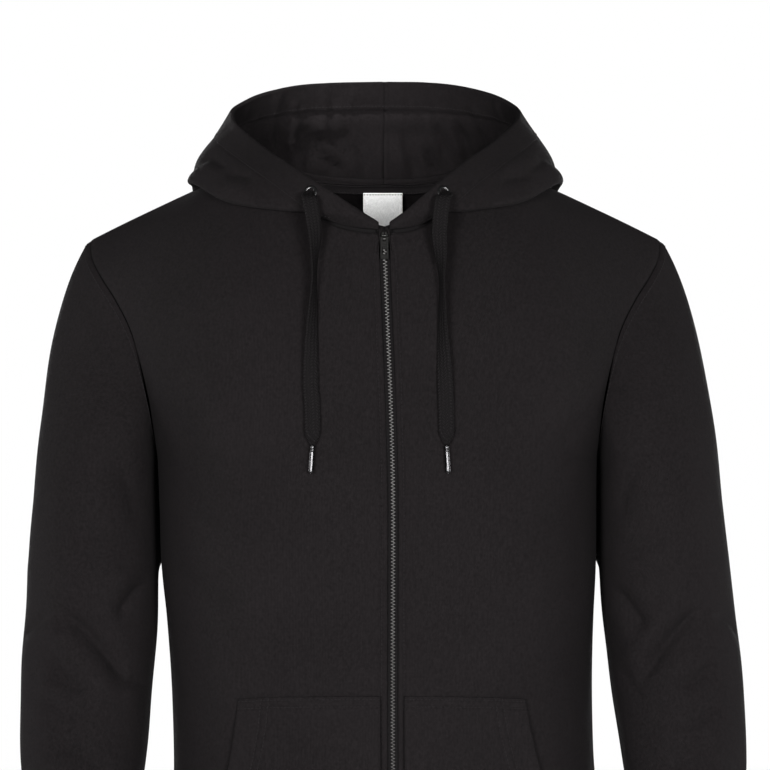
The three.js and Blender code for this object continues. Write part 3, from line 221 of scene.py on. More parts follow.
# Folds, by the way they face: from and to, across and up as seen that way, how far they bow, and how deep
# and wide the trough is. A ridge runs beside each. Across is X for front and back, and Y for out.
FOLDS = {
    "sleeve_right": {
        "front": (
            (-283, -390, -214, -466, -5, 9.0, 10), (-197, -368, -228, -408, 4, 5.0, 9),
            (-290, -438, -254, -466, 3, 5.0, 8), (-220, -455, -202, -462, 0, 3.0, 8),
            (-292, -503, -232, -541, -4, 4.0, 11), (-262, -330, -204, -352, 4, 2.6, 11),
            (-294, -462, -258, -492, 4, 2.2, 10), (-238, -560, -298, -590, 3, 2.6, 9),
            (-232, -250, -208, -330, -5, 2.4, 12), (-300, -606, -244, -600, 3, 2.2, 6),
        ),
        "out": (
            (-54, -390, -10, -420, 4, 3.0, 9), (14, -428, 56, -462, -4, 3.4, 10),
            (-60, -520, -20, -548, -3, 2.6, 9), (30, -330, 58, -400, 4, 2.6, 14),
        ),
        "back": (
            (-226, -418, -294, -472, 5, 5.0, 12), (-290, -512, -228, -558, -4, 5.0, 11),
            (-212, -306, -268, -354, 4, 4.2, 13), (-232, -236, -214, -300, 3, 3.2, 12),
            (-300, -430, -262, -440, 2, 2.4, 9), (-240, -590, -286, -602, 2, 2.4, 7),
        ),
    },
    "sleeve_left": {
        "front": (
            (284, -388, 220, -464, 5, 9.0, 10), (197, -372, 232, -418, -3, 5.0, 9),
            (290, -436, 258, -464, -3, 4.6, 8), (296, -470, 250, -500, -4, 3.0, 10),
            (290, -508, 238, -538, 4, 4.0, 11), (206, -440, 228, -474, 3, 2.6, 9),
            (258, -322, 202, -348, -4, 2.6, 11), (300, -560, 246, -586, -3, 2.8, 9),
            (236, -246, 208, -322, 5, 2.4, 12), (240, -604, 296, -610, 2, 2.2, 6),
        ),
        "out": (
            (-52, -398, -8, -424, -4, 3.0, 9), (12, -436, 54, -456, 4, 3.4, 10),
            (-62, -514, -18, -552, 3, 2.6, 9), (34, -324, 56, -394, -4, 2.6, 14),
        ),
        "back": (
            (228, -424, 290, -468, -5, 5.0, 12), (286, -514, 230, -553, 4, 5.0, 11),
            (214, -312, 264, -350, -4, 4.2, 13), (236, -230, 212, -296, -3, 3.2, 12),
            (298, -444, 258, -452, -2, 2.4, 9), (242, -586, 290, -606, 2, 2.4, 7),
        ),
    },
    "front_right": {
        "front": (
            (-178, -300, -96, -330, 8, 1.6, 13), (-186, -340, -120, -392, 7, 1.8, 14),
            (-196, -210, -150, -262, -6, 2.2, 12), (-150, -560, -60, -640, 8, 2.0, 14),
            (-176, -470, -150, -640, 5, 2.2, 14), (-20, -560, -34, -648, 2, 1.4, 9),
            (-110, -430, -60, -520, 6, 1.2, 18),
        ),
    },
    "front_left": {
        "front": (
            (180, -296, 104, -334, -8, 1.6, 13), (186, -352, 126, -396, -7, 1.8, 14),
            (198, -206, 154, -268, 6, 2.2, 12), (148, -570, 66, -642, -8, 2.0, 14),
            (174, -480, 152, -636, -5, 2.2, 14), (22, -552, 36, -646, -2, 1.4, 9),
            (104, -440, 70, -524, -6, 1.2, 18),
        ),
    },
    "back": {
        "back": (
            (-186, -230, -110, -290, 8, 2.6, 15), (188, -226, 116, -284, -8, 2.6, 15),
            (-178, -330, -70, -372, 9, 2.2, 16), (176, -338, 84, -384, -9, 2.2, 16),
            (-150, -560, -40, -628, 8, 3.0, 15), (158, -548, 50, -632, -8, 3.0, 15),
            (-60, -470, 40, -500, -6, 2.2, 18), (10, -590, 26, -650, 3, 2.0, 11),
            (-110, -600, -96, -650, 3, 2.0, 10), (104, -604, 92, -652, -3, 2.0, 10),
        ),
    },
    "hood_right": {
        "back": (
            (-92, 42, -80, 2, 3, -6.0, 4), (-79, 38, -60, -2, -3, -6.5, 4),
            (-64, 34, -30, -8, 5, -6.0, 4.5), (-50, 48, -26, 4, 3, -5.0, 4),
            (-108, 26, -90, -8, 2, -4.0, 5), (-30, 26, -14, -8, -2, -3.6, 5),
            (-72, 46, -36, 32, 2, 4.0, 5), (-118, -50, -40, -120, -8, 5.0, 12),
            (-90, -8, -20, -40, -6, 3.5, 12), (-60, -120, -12, -150, 4, 3.5, 9),
        ),
        "out": (
            (-30, 6, 30, -14, 4, 3.0, 8), (20, 22, 70, -40, -4, 3.0, 10),
        ),
        "front": (
            (-146, 2, -128, -10, 2, 2.6, 5), (-132, -18, -104, -22, -2, 2.6, 6),
        ),
    },
    "hood_left": {
        "back": (
            (69, 46, 88, -2, -3, -8.0, 4.5), (42, 20, 62, -14, 2, -6.0, 4),
            (18, 38, 36, -8, 3, -4.4, 5), (92, 40, 104, 6, -2, -5.0, 4),
            (55, 46, 66, 6, 2, -4.4, 4), (76, 16, 112, 26, 3, 4.0, 5),
            (122, -44, 46, -126, 8, 5.0, 12), (84, -16, 24, -36, 6, 3.5, 12),
            (56, -124, 14, -146, -4, 3.5, 9),
        ),
        "out": (
            (-34, 2, 34, -18, -4, 3.0, 8), (24, 18, 66, -44, 4, 3.0, 10),
        ),
        "front": (
            (150, 0, 134, -12, -2, 2.6, 5), (136, -20, 108, -24, 2, 2.6, 6),
        ),
    },
}
FOLD = {
    "ridge": 0.45, "beside": 1.75, "ridge_wide": 1.1,
    "core": 0.42, "core_wide": 0.4,
    "ends": 0.3, "turned_away": 1.4,
}


# Arithmetic on arrays
def smooth(keys, values, at):
    """Cubic pieces through values at rising keys. The slope at a key is that of the parabola through it
    and its neighbours, and past either end the last piece runs on."""
    keys = np.asarray(keys, float)
    values = np.asarray(values, float)
    at = np.asarray(at, float)
    step = np.diff(keys).reshape((-1,) + (1,) * (values.ndim - 1))
    rise = np.diff(values, axis=0) / step
    slope = np.empty_like(values)
    slope[0] = rise[0]
    slope[-1] = rise[-1]
    slope[1:-1] = (rise[1:] * step[:-1] + rise[:-1] * step[1:]) / (step[:-1] + step[1:])
    i = np.clip(np.searchsorted(keys, at) - 1, 0, len(keys) - 2)
    h = step[i]
    t = (at - keys[i]).reshape(at.shape + (1,) * (values.ndim - 1)) / h
    low = (1 + 2 * t) * (1 - t) ** 2 * values[i] + t * (1 - t) ** 2 * h * slope[i]
    return low + t * t * (3 - 2 * t) * values[i + 1] + t * t * (t - 1) * h * slope[i + 1]


def level(rows, key, at):
    """A table's columns between its rows, as smooth curves of its key."""
    return {name: smooth(rows[key], column, at) for name, column in rows.items()}


def points(x, y, z):
    return np.stack(np.broadcast_arrays(x, y, z), -1).astype(float)


def mirrored(grid, sign):
    return grid * np.array([sign, 1, 1])


def unit(v):
    return v / np.maximum(np.linalg.norm(v, axis=-1, keepdims=True), 1e-9)


def mix(a, b, t):
    return a + (b - a) * t


def run(grid, axis=0):
    """The length along each line of a grid, from its first point."""
    steps = np.linalg.norm(np.diff(grid, axis=axis), axis=-1)
    first = np.zeros_like(np.take(steps, [0], axis))
    return np.concatenate([first, np.cumsum(steps, axis)], axis)


def along(line, share):
    """The points a share of the way along a line, by length."""
    length = run(line)
    at = np.asarray(share) * length[-1]
    return np.stack([np.interp(at, length, line[:, k]) for k in range(line.shape[1])], -1)


def bell(distance, width):
    return np.exp(-((distance / width) ** 2))


def step_up(t):
    """A smooth step from 0 at t = 0 to 1 at t = 1."""
    t = np.clip(t, 0, 1)
    return t * t * (3 - 2 * t)


def joined(*parts):
    """Rising steps from several stretches, each one (from, to, count), without doubles."""
    return np.unique(np.concatenate([np.linspace(*part) for part in parts]).round(9))


def hang(grid):
    """The symmetrical garment as it hangs: its centre line drifts to one side by DRIFT, dying out across
    it as a bell curve, and all of it leans by the square of the depth below the shoulders."""
    x, z = grid[..., 0], grid[..., 2]
    high = np.clip(z, LEAN["until"], 0)
    lean = LEAN["curve"] * high**2 + LEAN["slope"] * np.maximum(0, LEAN["until"] - z)
    drift = smooth(DRIFT["z"], DRIFT["by"], z) * bell(x, CENTRE_SPREAD)
    return points(x + drift + lean, grid[..., 1], z)


def facing(grid, sign, around=False):
    """The outward normal of a grid: the cross product of the steps along its two directions."""
    if around:
        first = np.roll(grid, -1, 0) - np.roll(grid, 1, 0)
    else:
        first = np.gradient(grid, axis=0)
    return unit(np.cross(first, np.gradient(grid, axis=1))) * sign


# The pattern's surfaces, for the side with positive X
def neck_curve(turn):
    """The neckline: sine to a power across, cosine to a power in depth and in drop."""
    c = np.abs(np.cos(turn))
    front = turn < np.pi / 2
    x = NECK["half_width"] * np.sin(turn) ** NECK["curve"]

    def either(name):
        keys = (f"front_{name}", f"back_{name}")
        return np.where(front, *(NECK[key] * c ** NECK_POWERS[key] for key in keys))

    y, z = either("y"), -either("drop")
    return points(x, y, z)


FRONT_NECK = neck_curve(np.linspace(0, np.pi / 2, 121))
FRONT_NECK[0, 0] = FRONT_EDGE
BACK_NECK = neck_curve(np.linspace(np.pi, np.pi / 2, 121))
BACK_NECK[0, 0] = 0
NECK_LINES = {"front": FRONT_NECK, "back": BACK_NECK}


def neck_at(share):
    """The neckline from the zip (0) round the shoulder point to the centre back (1)."""
    share = np.asarray(share)[..., None]
    front = along(FRONT_NECK, np.clip(share[..., 0] / FRONT_NECK_SHARE, 0, 1))
    rest = 1 - (share[..., 0] - FRONT_NECK_SHARE) / (1 - FRONT_NECK_SHARE)
    return np.where(share < FRONT_NECK_SHARE, front, along(BACK_NECK, np.clip(rest, 0, 1)))


def body_point(z, turn):
    """The body's section: half width by a power of the sine of the turn from the centre front, depth by
    the same power of its cosine."""
    row = level(BODY, "z", z)
    angle = np.radians(turn)
    front = turn < 90
    start = np.where(front, FRONT_EDGE * np.cos(angle) ** 2, 0)
    depth = np.where(front, row["front"], row["back"])
    x = start + (row["half"] - start) * np.abs(np.sin(angle)) ** ROUNDNESS
    y = SIDE_Y + (depth - SIDE_Y) * np.abs(np.cos(angle)) ** ROUNDNESS
    return points(x, y, z)


def armhole_line(side):
    keys = np.arange(9)
    line = np.stack([ARMHOLE["x"], ARMHOLE[side], ARMHOLE["z"]], -1)
    return smooth(keys, line, np.linspace(0, 8, 161))


ARMHOLE_LINES = {side: armhole_line(side) for side in ("front", "back")}


def upper_point(side, across, climb):
    """A panel above the armpits: a patch between the armpit's section, the neckline and shoulder seam, the
    centre line and the armhole, rounding over the shoulder as a quarter of an ellipse does."""
    across, climb = np.broadcast_arrays(across, climb)
    front = side == "front"
    corner = FRONT_CORNER if front else BACK_CORNER
    neck = NECK_LINES[side]
    angle = climb * np.pi / 2
    weights = points(1 - np.cos(angle), 1 - np.cos(angle), np.sin(angle))

    def top_at(s):
        t = np.clip((s - corner) / (1 - corner), 0, 1)[..., None]
        seam = mix(neck[-1], SHOULDER_TIP, t) + np.array([0, 0, 4 * SHOULDER_RISE]) * t * (1 - t)
        return np.where(s[..., None] < corner, along(neck, np.clip(s / corner, 0, 1)), seam)

    def eased(s):
        """The top edge with its corner rounded off, for the cloth below it."""
        places = np.linspace(-1, 1, CORNER_EASE["shifts"])
        shifts = places * CORNER_EASE["reach"] * np.minimum(1, 4 * np.minimum(s, 1 - s))[..., None]
        share = bell(places, CORNER_EASE["spread"])
        around = [top_at(np.clip(s + shifts[..., k], 0, 1)) * share[k] for k in range(len(places))]
        return np.stack(around).sum(0) / share.sum()

    def low_at(s):
        return body_point(np.full_like(s, ARMPIT_Z), 90 * s if front else 180 - 90 * s)

    ends = np.array([0.0, 1.0])
    low, sharp = low_at(across), top_at(across)
    ease_end = step_up((climb - CORNER_EASE["from"]) / (1 - CORNER_EASE["from"]))
    top = mix(eased(across), sharp, ease_end[..., None] ** 2)
    (low_first, low_last), (top_first, top_last) = low_at(ends), top_at(ends)
    centre_z = mix(ARMPIT_Z, top_first[2], np.sin(angle))
    centre = points(top_first[0], level(CENTRE_ABOVE, "z", centre_z)[side], centre_z)
    edge = along(ARMHOLE_LINES[side], climb)
    to_centre = centre - mix(low_first, top_first, weights)
    to_edge = edge - mix(low_last, top_last, weights)
    near = ((1 - across) ** 2)[..., None]
    far = (across**EDGE_BLEND)[..., None]
    return mix(low, top, weights) + to_centre * near + to_edge * far


def panel_grid(side, across, below, above):
    """A front or back panel from the hem seam up: body sections to the armpit, then the upper patch."""
    z = mix(HEM["top"], ARMPIT_Z, below)[None, :]
    seam = level(BODY, "z", z)["seam"]
    s = across[:, None]
    turn = seam * s if side == "front" else mix(180, seam, s)
    low = body_point(np.broadcast_to(z, turn.shape), turn)
    high = upper_point(side, s, above[None, 1:])
    return np.concatenate([low, high], 1)


def sleeve_section(row, turn):
    """The sleeve's section: an ellipse with its cosine and sine to a power below 1, which squares it
    slightly."""
    c, s = (np.sign(v) * np.abs(v) ** SLEEVE_ROUNDNESS for v in (np.cos(turn), np.sin(turn)))
    x = (row["inner"] + row["outer"]) / 2 + (row["outer"] - row["inner"]) / 2 * c
    y = (row["front"] + row["back"]) / 2 - (row["back"] - row["front"]) / 2 * s
    return x, y


def rest_on_body(grid):
    """The sleeve's inner side leans on the body behind the side seam, below the armpit."""
    x, y, z = grid[..., 0], grid[..., 1], grid[..., 2]
    row = level(BODY, "z", np.clip(z, BODY["z"][0], ARMPIT_Z))
    depth = np.where(y < SIDE_Y, row["front"], row["back"])
    c = np.clip(np.abs((y - SIDE_Y) / (depth - SIDE_Y)), 0, 1) ** (1 / ROUNDNESS)
    side = row["half"] * np.sqrt(1 - c * c) ** ROUNDNESS
    down = step_up((REST["from"] - z) / (REST["from"] - REST["full"]))
    up = step_up((z - REST["end"]) / (REST["until"] - REST["end"]))
    free = np.where(x < REST["inside"], np.maximum(0, x - side - REST["gap"]), 0)
    return points(x - bell(y - REST["y"], REST["spread"]) * np.minimum(down, up) * free, y, z)


def sleeve_grid(turns, head, down):
    """The sleeve: cubic arcs from the armhole to the first section, then sections down to the cuff. turns are
    from 0 at the shoulder tip forwards and round to 1."""
    turns = turns % 1
    front = along(ARMHOLE_LINES["front"], np.clip(1 - 2 * turns, 0, 1))
    back = along(ARMHOLE_LINES["back"], np.clip(2 * turns - 1, 0, 1))
    start = np.where(turns[:, None] <= 0.5, front, back)
    angle = 2 * np.pi * turns
    top = np.maximum(0, np.cos(angle))
    start[:, 0] += SEAM_GAP + SLEEVE_HEAD["gap"] * top**4
    last = len(SLEEVE["z"]) - 1
    first = {name: column[last] for name, column in SLEEVE.items()}
    x, y = sleeve_section(first, angle)
    end = points(x, y, first["z"])
    reach = (start[:, 2] - first["z"]) / (SHOULDER_TIP[2] - first["z"])
    zero = np.zeros_like(top)
    a = start + points(SLEEVE_HEAD["out"] * top, zero, -SLEEVE_HEAD["down"] * reach)
    b = end + points(-SLEEVE_HEAD["end_out"] * top, zero, SLEEVE_HEAD["end_down"] * reach)
    t = head[None, :, None]
    p, a, b, q = (v[:, None, :] for v in (start, a, b, end))
    upper = (1 - t) ** 3 * p + 3 * t * (1 - t) ** 2 * a + 3 * t * t * (1 - t) * b + t**3 * q
    z = mix(first["z"], CUFF["top"] + SEAM_GAP, down[None, 1:])
    x, y = sleeve_section(level(SLEEVE, "z", z), angle[:, None])
    return rest_on_body(np.concatenate([upper, points(x, y, np.broadcast_to(z, x.shape))], 1))


def hood_grid(stations, shares):
    """The hood: at each station a section through six points, from the neck seam down into the slack,
    round the outer fold and up to the rim; where it is not open it stands up as a parabola instead. shares
    is a grid."""
    row = level(HOOD, "at", stations)
    neck = neck_at(row["neck"]) + np.array([0, 0, HOOD_GAP])
    fold = points(row["foldx"], row["foldy"], row["foldz"])
    rim = points(row["rimx"], row["rimy"], row["rimz"])
    flat = unit((fold - neck) * np.array([1, 1, 0]))
    up = np.array([0.0, 0.0, 1.0])
    inner = mix(neck, fold, HOOD_INNER) + row["lift"][:, None] * up
    bottom = mix(neck, fold, HOOD_BOTTOM) - flat * row["tuck"][:, None] - row["sag"][:, None] * up
    swell = mix(fold, rim, 0.5) + flat * row["belly"][:, None]
    knots = np.stack([neck, inner, bottom, fold, swell, rim])
    line = np.arange(len(stations))[:, None]
    slack = smooth(HOOD_KNOTS, knots, shares)[line, np.arange(shares.shape[1])[None, :], line]
    control = 2 * fold - mix(neck, rim, 0.5)
    s = shares[..., None]
    p, c, q = (v[:, None, :] for v in (neck, control, rim))
    upright = mix(mix(p, c, s), mix(c, q, s), s)
    return mix(upright, slack, np.clip(row["open"], 0, 1)[:, None, None])


# Working on a surface
def folded(grid, normals, folds, sign):
    """How far the folds move each point along its normal. Across a fold the cloth follows a bell-shaped
    trough with a narrower one at its bottom, and a lower bell-shaped ridge beside it; along it all fade in
    and out by smooth steps."""
    total = np.zeros(grid.shape[:2])
    z = grid[..., 2]
    rows = [(view, row) for view in folds for row in folds[view]]
    for view, (from_x, from_z, to_x, to_z, bow, depth, width) in rows:
        if view in ("front", "back"):
            flat = grid[..., 0]
            seen = normals[..., 1] * (1 if view == "back" else -1)
        else:
            flat = grid[..., 1]
            seen = normals[..., 0] * sign
        reach = np.hypot(to_x - from_x, to_z - from_z)
        way = ((to_x - from_x) / reach, (to_z - from_z) / reach)
        t = ((flat - from_x) * way[0] + (z - from_z) * way[1]) / reach
        off = (flat - from_x) * way[1] - (z - from_z) * way[0] - bow * 4 * t * (1 - t)
        fade = step_up(t / FOLD["ends"]) * step_up((1 - t) / FOLD["ends"])
        ridge = FOLD["ridge"] * bell(off - FOLD["beside"] * width, FOLD["ridge_wide"] * width)
        core = FOLD["core"] * bell(off, FOLD["core_wide"] * width)
        trough = (1 - FOLD["core"]) * bell(off, width) + core
        total += np.clip(FOLD["turned_away"] * seen, 0, 1) * fade * depth * (ridge - trough)
    return total


WAVES = {"lengths": (150, 118, 90, 66, 48), "power": 0.7, "share": 2.4}


def undulation(grid, size, seed):
    """A slow unevenness of worn cloth: the sum of five sine waves in space, in directions drawn from the
    seed."""
    draw = np.random.default_rng(seed)
    total = np.zeros(grid.shape[:2])
    for wave in WAVES["lengths"]:
        way = unit(draw.normal(size=3))
        height = (wave / WAVES["lengths"][0]) ** WAVES["power"]
        total += np.sin(2 * np.pi * (grid @ way) / wave + draw.uniform(0, 6.28)) * height
    return total * size / WAVES["share"]


def grid_faces(rows, columns, first=0, around=False):
    """The quads of a grid of points, as numbers of points and as numbers of corners on the flat cloth."""
    i = np.arange(rows if around else rows - 1)[:, None]
    j = np.arange(columns - 1)[None, :]
    a, b = i * columns + j, (i + 1) % rows * columns + j
    c = (i + 1) * columns + j
    faces = np.stack([a, b, b + 1, a + 1], -1).reshape(-1, 4) + first
    corners = np.stack([a, c, c + 1, a + 1], -1).reshape(-1, 4)
    return faces, corners


def volume_sign(vertices, quads):
    a, b, c, d = (vertices[quads[:, k]] for k in range(4))
    return np.sum(a * np.cross(b, c)) + np.sum(a * np.cross(c, d))


def in_scene(name, data):
    """A new object in the scene."""
    made = bpy.data.objects.new(name, data)
    bpy.context.scene.collection.objects.link(made)
    return made


def right_way_out(vertices, quads, *alongside):
    """The quads, and what goes with their corners, turned round if the closed mesh is inside out."""
    turned = volume_sign(vertices, quads) < 0
    return [rows[:, ::-1] if turned else rows for rows in (quads, *alongside)]


def add_piece(name, vertices, faces, material, uv=None, corners=None, replaces=()):
    """Puts a mesh into the scene in metres, riding on the garment."""
    mesh = bpy.data.meshes.new(name)
    lists = [face for part in faces for face in np.asarray(part).tolist()]
    mesh.from_pydata((vertices * MM).tolist(), [], lists)
    mesh.polygons.foreach_set("use_smooth", np.ones(len(mesh.polygons), bool))
    if uv is not None:
        layer = mesh.uv_layers.new(name="cloth")
        layer.data.foreach_set("uv", (uv[corners.ravel()] * MM).ravel())
    mesh.materials.append(material)
    piece = in_scene(name, mesh)
    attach(piece, "garment")
    if replaces:
        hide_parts(*replaces)
    return piece


def wall(name, outer, inner, material, around=False, replaces=()):
    """The closed wall between two grids, with a flat map of the cloth in millimetres: across and along."""
    rows, columns = outer.shape[:2]
    count = rows * columns
    faces, corners = grid_faces(rows, columns, 0, around)
    quads, flat = [faces, faces[:, ::-1] + count], [corners, corners[:, ::-1]]

    def close(here, after, past, way):
        """The strip that joins the grids along an edge. Past is after, on the flat map."""
        quads.append(np.stack([here, after, after + count, here + count], -1)[:, ::way])
        flat.append(np.stack([here, past, past, here], -1))

    i = np.arange(rows if around else rows - 1)
    for column, way in ((0, -1), (columns - 1, 1)):
        close(i * columns + column, (i + 1) % rows * columns + column, (i + 1) * columns + column, way)
    if not around:
        for row, way in ((0, 1), (rows - 1, -1)):
            here = row * columns + np.arange(columns - 1)
            close(here, here + 1, here + 1, way)
    quads, flat = np.concatenate(quads), np.concatenate(flat)
    vertices = np.concatenate([outer.reshape(-1, 3), inner.reshape(-1, 3)])
    quads, flat = right_way_out(vertices, quads, flat)
    closed = np.concatenate([outer, outer[:1]]) if around else outer
    uv = np.stack([run(closed, 0), run(closed, 1)], -1).reshape(-1, 2)
    return add_piece(name, vertices, [quads], material, uv, flat, replaces)


def edge_runs(grid):
    """The distance of each point from the four edges of a grid, along its lines."""
    i, j = run(grid, 0), run(grid, 1)
    return {"first": i, "last": i[-1:] - i, "low": j, "high": j[:, -1:] - j}


def parallel(grid, normals, edge, distance):
    """The line on a surface that runs at a distance from one of its edges, and the normals along it."""
    both = np.concatenate([grid, normals], -1)
    if edge in ("low", "high"):
        both = both.swapaxes(0, 1)
    if edge in ("last", "high"):
        both = both[::-1]
    length = run(both[..., :3], 0)
    lines = range(both.shape[1])
    cut = np.array([[np.interp(distance, length[:, m], both[:, m, k]) for k in range(6)] for m in lines])
    return cut[:, :3], unit(cut[:, 3:])


# Sewing: each stitch is a short thread, five-sided and thickest in the middle
STITCH = {"pitch": 3.3, "long": 2.4, "radius": 0.42, "lift": 0.14, "step": 0.002}
NECK_STITCH = {"pitch": 2.6, "long": 1.9}
LABEL_STITCH = {"pitch": 2.4, "long": 1.7}
STITCH_RINGS = ((-0.5, 0.3), (-0.28, 1), (0.28, 1), (0.5, 0.3))
STITCH_SIDES = 5


def stitch_parts(line, up, pitch=STITCH["pitch"], long=STITCH["long"]):
    """The vertices and faces of one row of stitches: rings of five points at four places along each
    stitch."""
    length = run(line)[-1]
    count = max(2, int(length / pitch))
    share = (np.arange(count) + 0.5) / count
    centre = along(line, share)
    way = unit(along(line, share + STITCH["step"]) - along(line, share - STITCH["step"]))
    rise = unit(along(np.concatenate([line, up], 1), share)[:, 3:])
    side = unit(np.cross(way, rise))
    rise = np.cross(side, way)
    angle = 2 * np.pi * np.arange(STITCH_SIDES) / STITCH_SIDES
    rings = np.array(STITCH_RINGS)
    a = np.repeat(rings[:, 0], STITCH_SIDES) * long
    radius = np.repeat(rings[:, 1], STITCH_SIDES) * STITCH["radius"]
    b = np.tile(np.cos(angle), len(rings)) * radius
    c = np.tile(np.sin(angle), len(rings)) * radius + STITCH["lift"]
    template = np.stack([a, b, c], -1)
    axes = np.stack([way, side, rise], 1)
    vertices = (centre[:, None, :] + np.einsum("vk,nkx->nvx", template, axes)).reshape(-1, 3)
    k = np.arange(STITCH_SIDES)
    near = np.arange(len(rings) - 1)[:, None] * STITCH_SIDES
    after = (k + 1) % STITCH_SIDES
    body = np.stack([near + k, near + after, near + after + STITCH_SIDES, near + k + STITCH_SIDES], -1)
    body = body.reshape(-1, 4)
    caps = np.stack([k[::-1], k + (len(rings) - 1) * STITCH_SIDES])
    first = (np.arange(count) * len(template))[:, None, None]
    return vertices, (body[None] + first).reshape(-1, 4), (caps[None] + first).reshape(-1, STITCH_SIDES)


sewing = {}


def sew(group, line, up, **sizes):
    """Adds a row of stitches to a group of sewing."""
    sewing.setdefault(group, []).append(stitch_parts(line, unit(up), **sizes))


def finish_sewing(material):
    """Makes one mesh of each group's stitches."""
    for group, rows in sewing.items():
        start = np.cumsum([0] + [len(row[0]) for row in rows[:-1]])
        vertices = np.concatenate([row[0] for row in rows])
        quads = np.concatenate([row[1] + s for row, s in zip(rows, start)])
        caps = np.concatenate([row[2] + s for row, s in zip(rows, start)])
        add_piece(f"stitches_{group}", vertices, [quads, caps], material)


# Shader node groups
def fill_in(node, values):
    """Gives inputs of a node their values, or links them where the value is another node's output."""
    for name, value in values.items():
        if isinstance(value, bpy.types.NodeSocket):
            node.id_data.links.new(value, node.inputs[name])
        else:
            node.inputs[name].default_value = value
    return node


def new_node(tree, kind, **values):
    return fill_in(tree.nodes.new("ShaderNode" + kind), values)


def new_group(name, inputs, outputs):
    """A node group, with what its input node gives and its output node. An input without a value is a
    vector."""
    tree = bpy.data.node_groups.new(name, "ShaderNodeTree")
    for entry, value in inputs.items():
        kind = "NodeSocketVector" if value is None else "NodeSocketFloat"
        made = tree.interface.new_socket(name=entry, in_out="INPUT", socket_type=kind)
        if value is not None:
            made.default_value = value
    for entry in outputs:
        tree.interface.new_socket(name=entry, in_out="OUTPUT", socket_type="NodeSocketFloat")
    return tree, tree.nodes.new("NodeGroupInput").outputs, tree.nodes.new("NodeGroupOutput")


def object_place(tree):
    return new_node(tree, "TexCoord").outputs["Object"]


def maths(operation, first, second=None):
    """A Math node in the tree of its first input, another node's output. The second is a number or an
    output."""
    tree = first.id_data
    node = tree.nodes.new("ShaderNodeMath")
    node.operation = operation
    tree.links.new(first, node.inputs[0])
    if isinstance(second, (int, float)):
        node.inputs[1].default_value = second
    elif second is not None:
        tree.links.new(second, node.inputs[1])
    return node.outputs[0]


def times(first, second):
    return maths("MULTIPLY", first, second)


def plus(first, second):
    return maths("ADD", first, second)


def knit_group():
    """The smooth face of a jersey knit: columns of V-shaped stitches on the flat map, with loose fibres, and
    painted shade that is darker in the hollows between stitches.
    """
    sizes = {"Flat": None, "Column": 1.3, "Row": 0.95, "Fibres": 0.5}
    tree, given, end = new_group("knit_face", sizes, ("Height", "Painted Shade"))
    parts = new_node(tree, "SeparateXYZ", Vector=given["Flat"])
    across, up = (times(parts.outputs[k], 1 / MM) for k in (0, 1))
    column = maths("DIVIDE", across, given["Column"])
    row = maths("DIVIDE", up, given["Row"])
    from_middle = maths("ABSOLUTE", maths("SUBTRACT", maths("FRACT", column), 0.5))
    wale = maths("COSINE", times(from_middle, np.pi))
    slanted = plus(row, times(from_middle, 1.1))
    loops = plus(times(maths("SINE", times(slanted, 2 * np.pi)), 0.3), 0.7)
    stitches = times(wale, loops)
    fibre = new_node(tree, "TexNoise", Vector=object_place(tree), Scale=1400, Detail=3, Roughness=0.65)
    loose = times(fibre.outputs["Fac"], given["Fibres"])
    # painted shade: the colour is lighter on the stitches' ridges and loose fibres, and darker in the hollows
    # between them
    painted_shade = plus(times(stitches, 0.5), times(loose, 0.8))
    fill_in(end, {"Height": plus(stitches, loose), "Painted Shade": painted_shade})
    return tree


def mottle_group():
    """Slow and fine unevenness of a dyed cloth, as one factor round 1."""
    tree, given, end = new_group("dye_mottle", {"Slow": 0.1, "Fine": 0.1}, ("Factor",))
    place = object_place(tree)
    total = 1.0
    for scale, name in ((9, "Slow"), (420, "Fine")):
        noise = new_node(tree, "TexNoise", Vector=place, Scale=scale, Detail=4)
        centred = maths("SUBTRACT", noise.outputs["Fac"], 0.5)
        total = plus(times(centred, given[name]), total)
    fill_in(end, {"Factor": total})
    return tree


KNIT = knit_group()
MOTTLE = mottle_group()


def new_material(name, roughness, metallic=0.0, sheen=0.0, specular=0.5):
    material = bpy.data.materials.new(name)
    material.use_nodes = True
    shader = material.node_tree.nodes["Principled BSDF"]
    fill_in(shader, {
        "Roughness": roughness,
        "Metallic": metallic,
        "Sheen Weight": sheen,
        "Sheen Roughness": 0.45,
        "Specular IOR Level": specular,
    })
    return material, material.node_tree, shader


def mottled(tree, slow, fine):
    """The factor of the dye's unevenness."""
    return placed_group(tree, MOTTLE, Slow=slow, Fine=fine).outputs["Factor"]


def placed_group(tree, group, **values):
    node = tree.nodes.new("ShaderNodeGroup")
    node.node_tree = group
    return fill_in(node, values)


def tinted(shader, colour, factor):
    """Base colour times a factor."""
    scale = shader.id_data.nodes.new("ShaderNodeVectorMath")
    scale.operation = "SCALE"
    scale.inputs[0].default_value = colour
    fill_in(scale, {"Scale": factor})
    fill_in(shader, {"Base Color": scale.outputs[0]})


def bumped(shader, height, distance):
    bump = new_node(shader.id_data, "Bump", Distance=distance * MM, Strength=1.0, Height=height)
    fill_in(shader, {"Normal": bump.outputs[0]})


def flat_map(tree):
    node = tree.nodes.new("ShaderNodeUVMap")
    node.uv_map = "cloth"
    return node.outputs[0]


def knitted(name, colour, column, row, depth, fibres, sheen):
    """A knitted cloth: V-shaped stitches in relief and with painted shade in their hollows, mottled by its
    dye.
    """
    material, tree, shader = new_material(name, 0.97, sheen=sheen, specular=0.05)
    knit = placed_group(tree, KNIT, Flat=flat_map(tree), Column=column, Row=row, Fibres=fibres)
    # the knit's painted shade darkens the base colour between the stitches
    painted_shade = plus(times(knit.outputs["Painted Shade"], 0.5), 0.72)
    tinted(shader, colour, times(mottled(tree, 0.4, 1.1), painted_shade))
    bumped(shader, knit.outputs["Height"], depth)
    return material


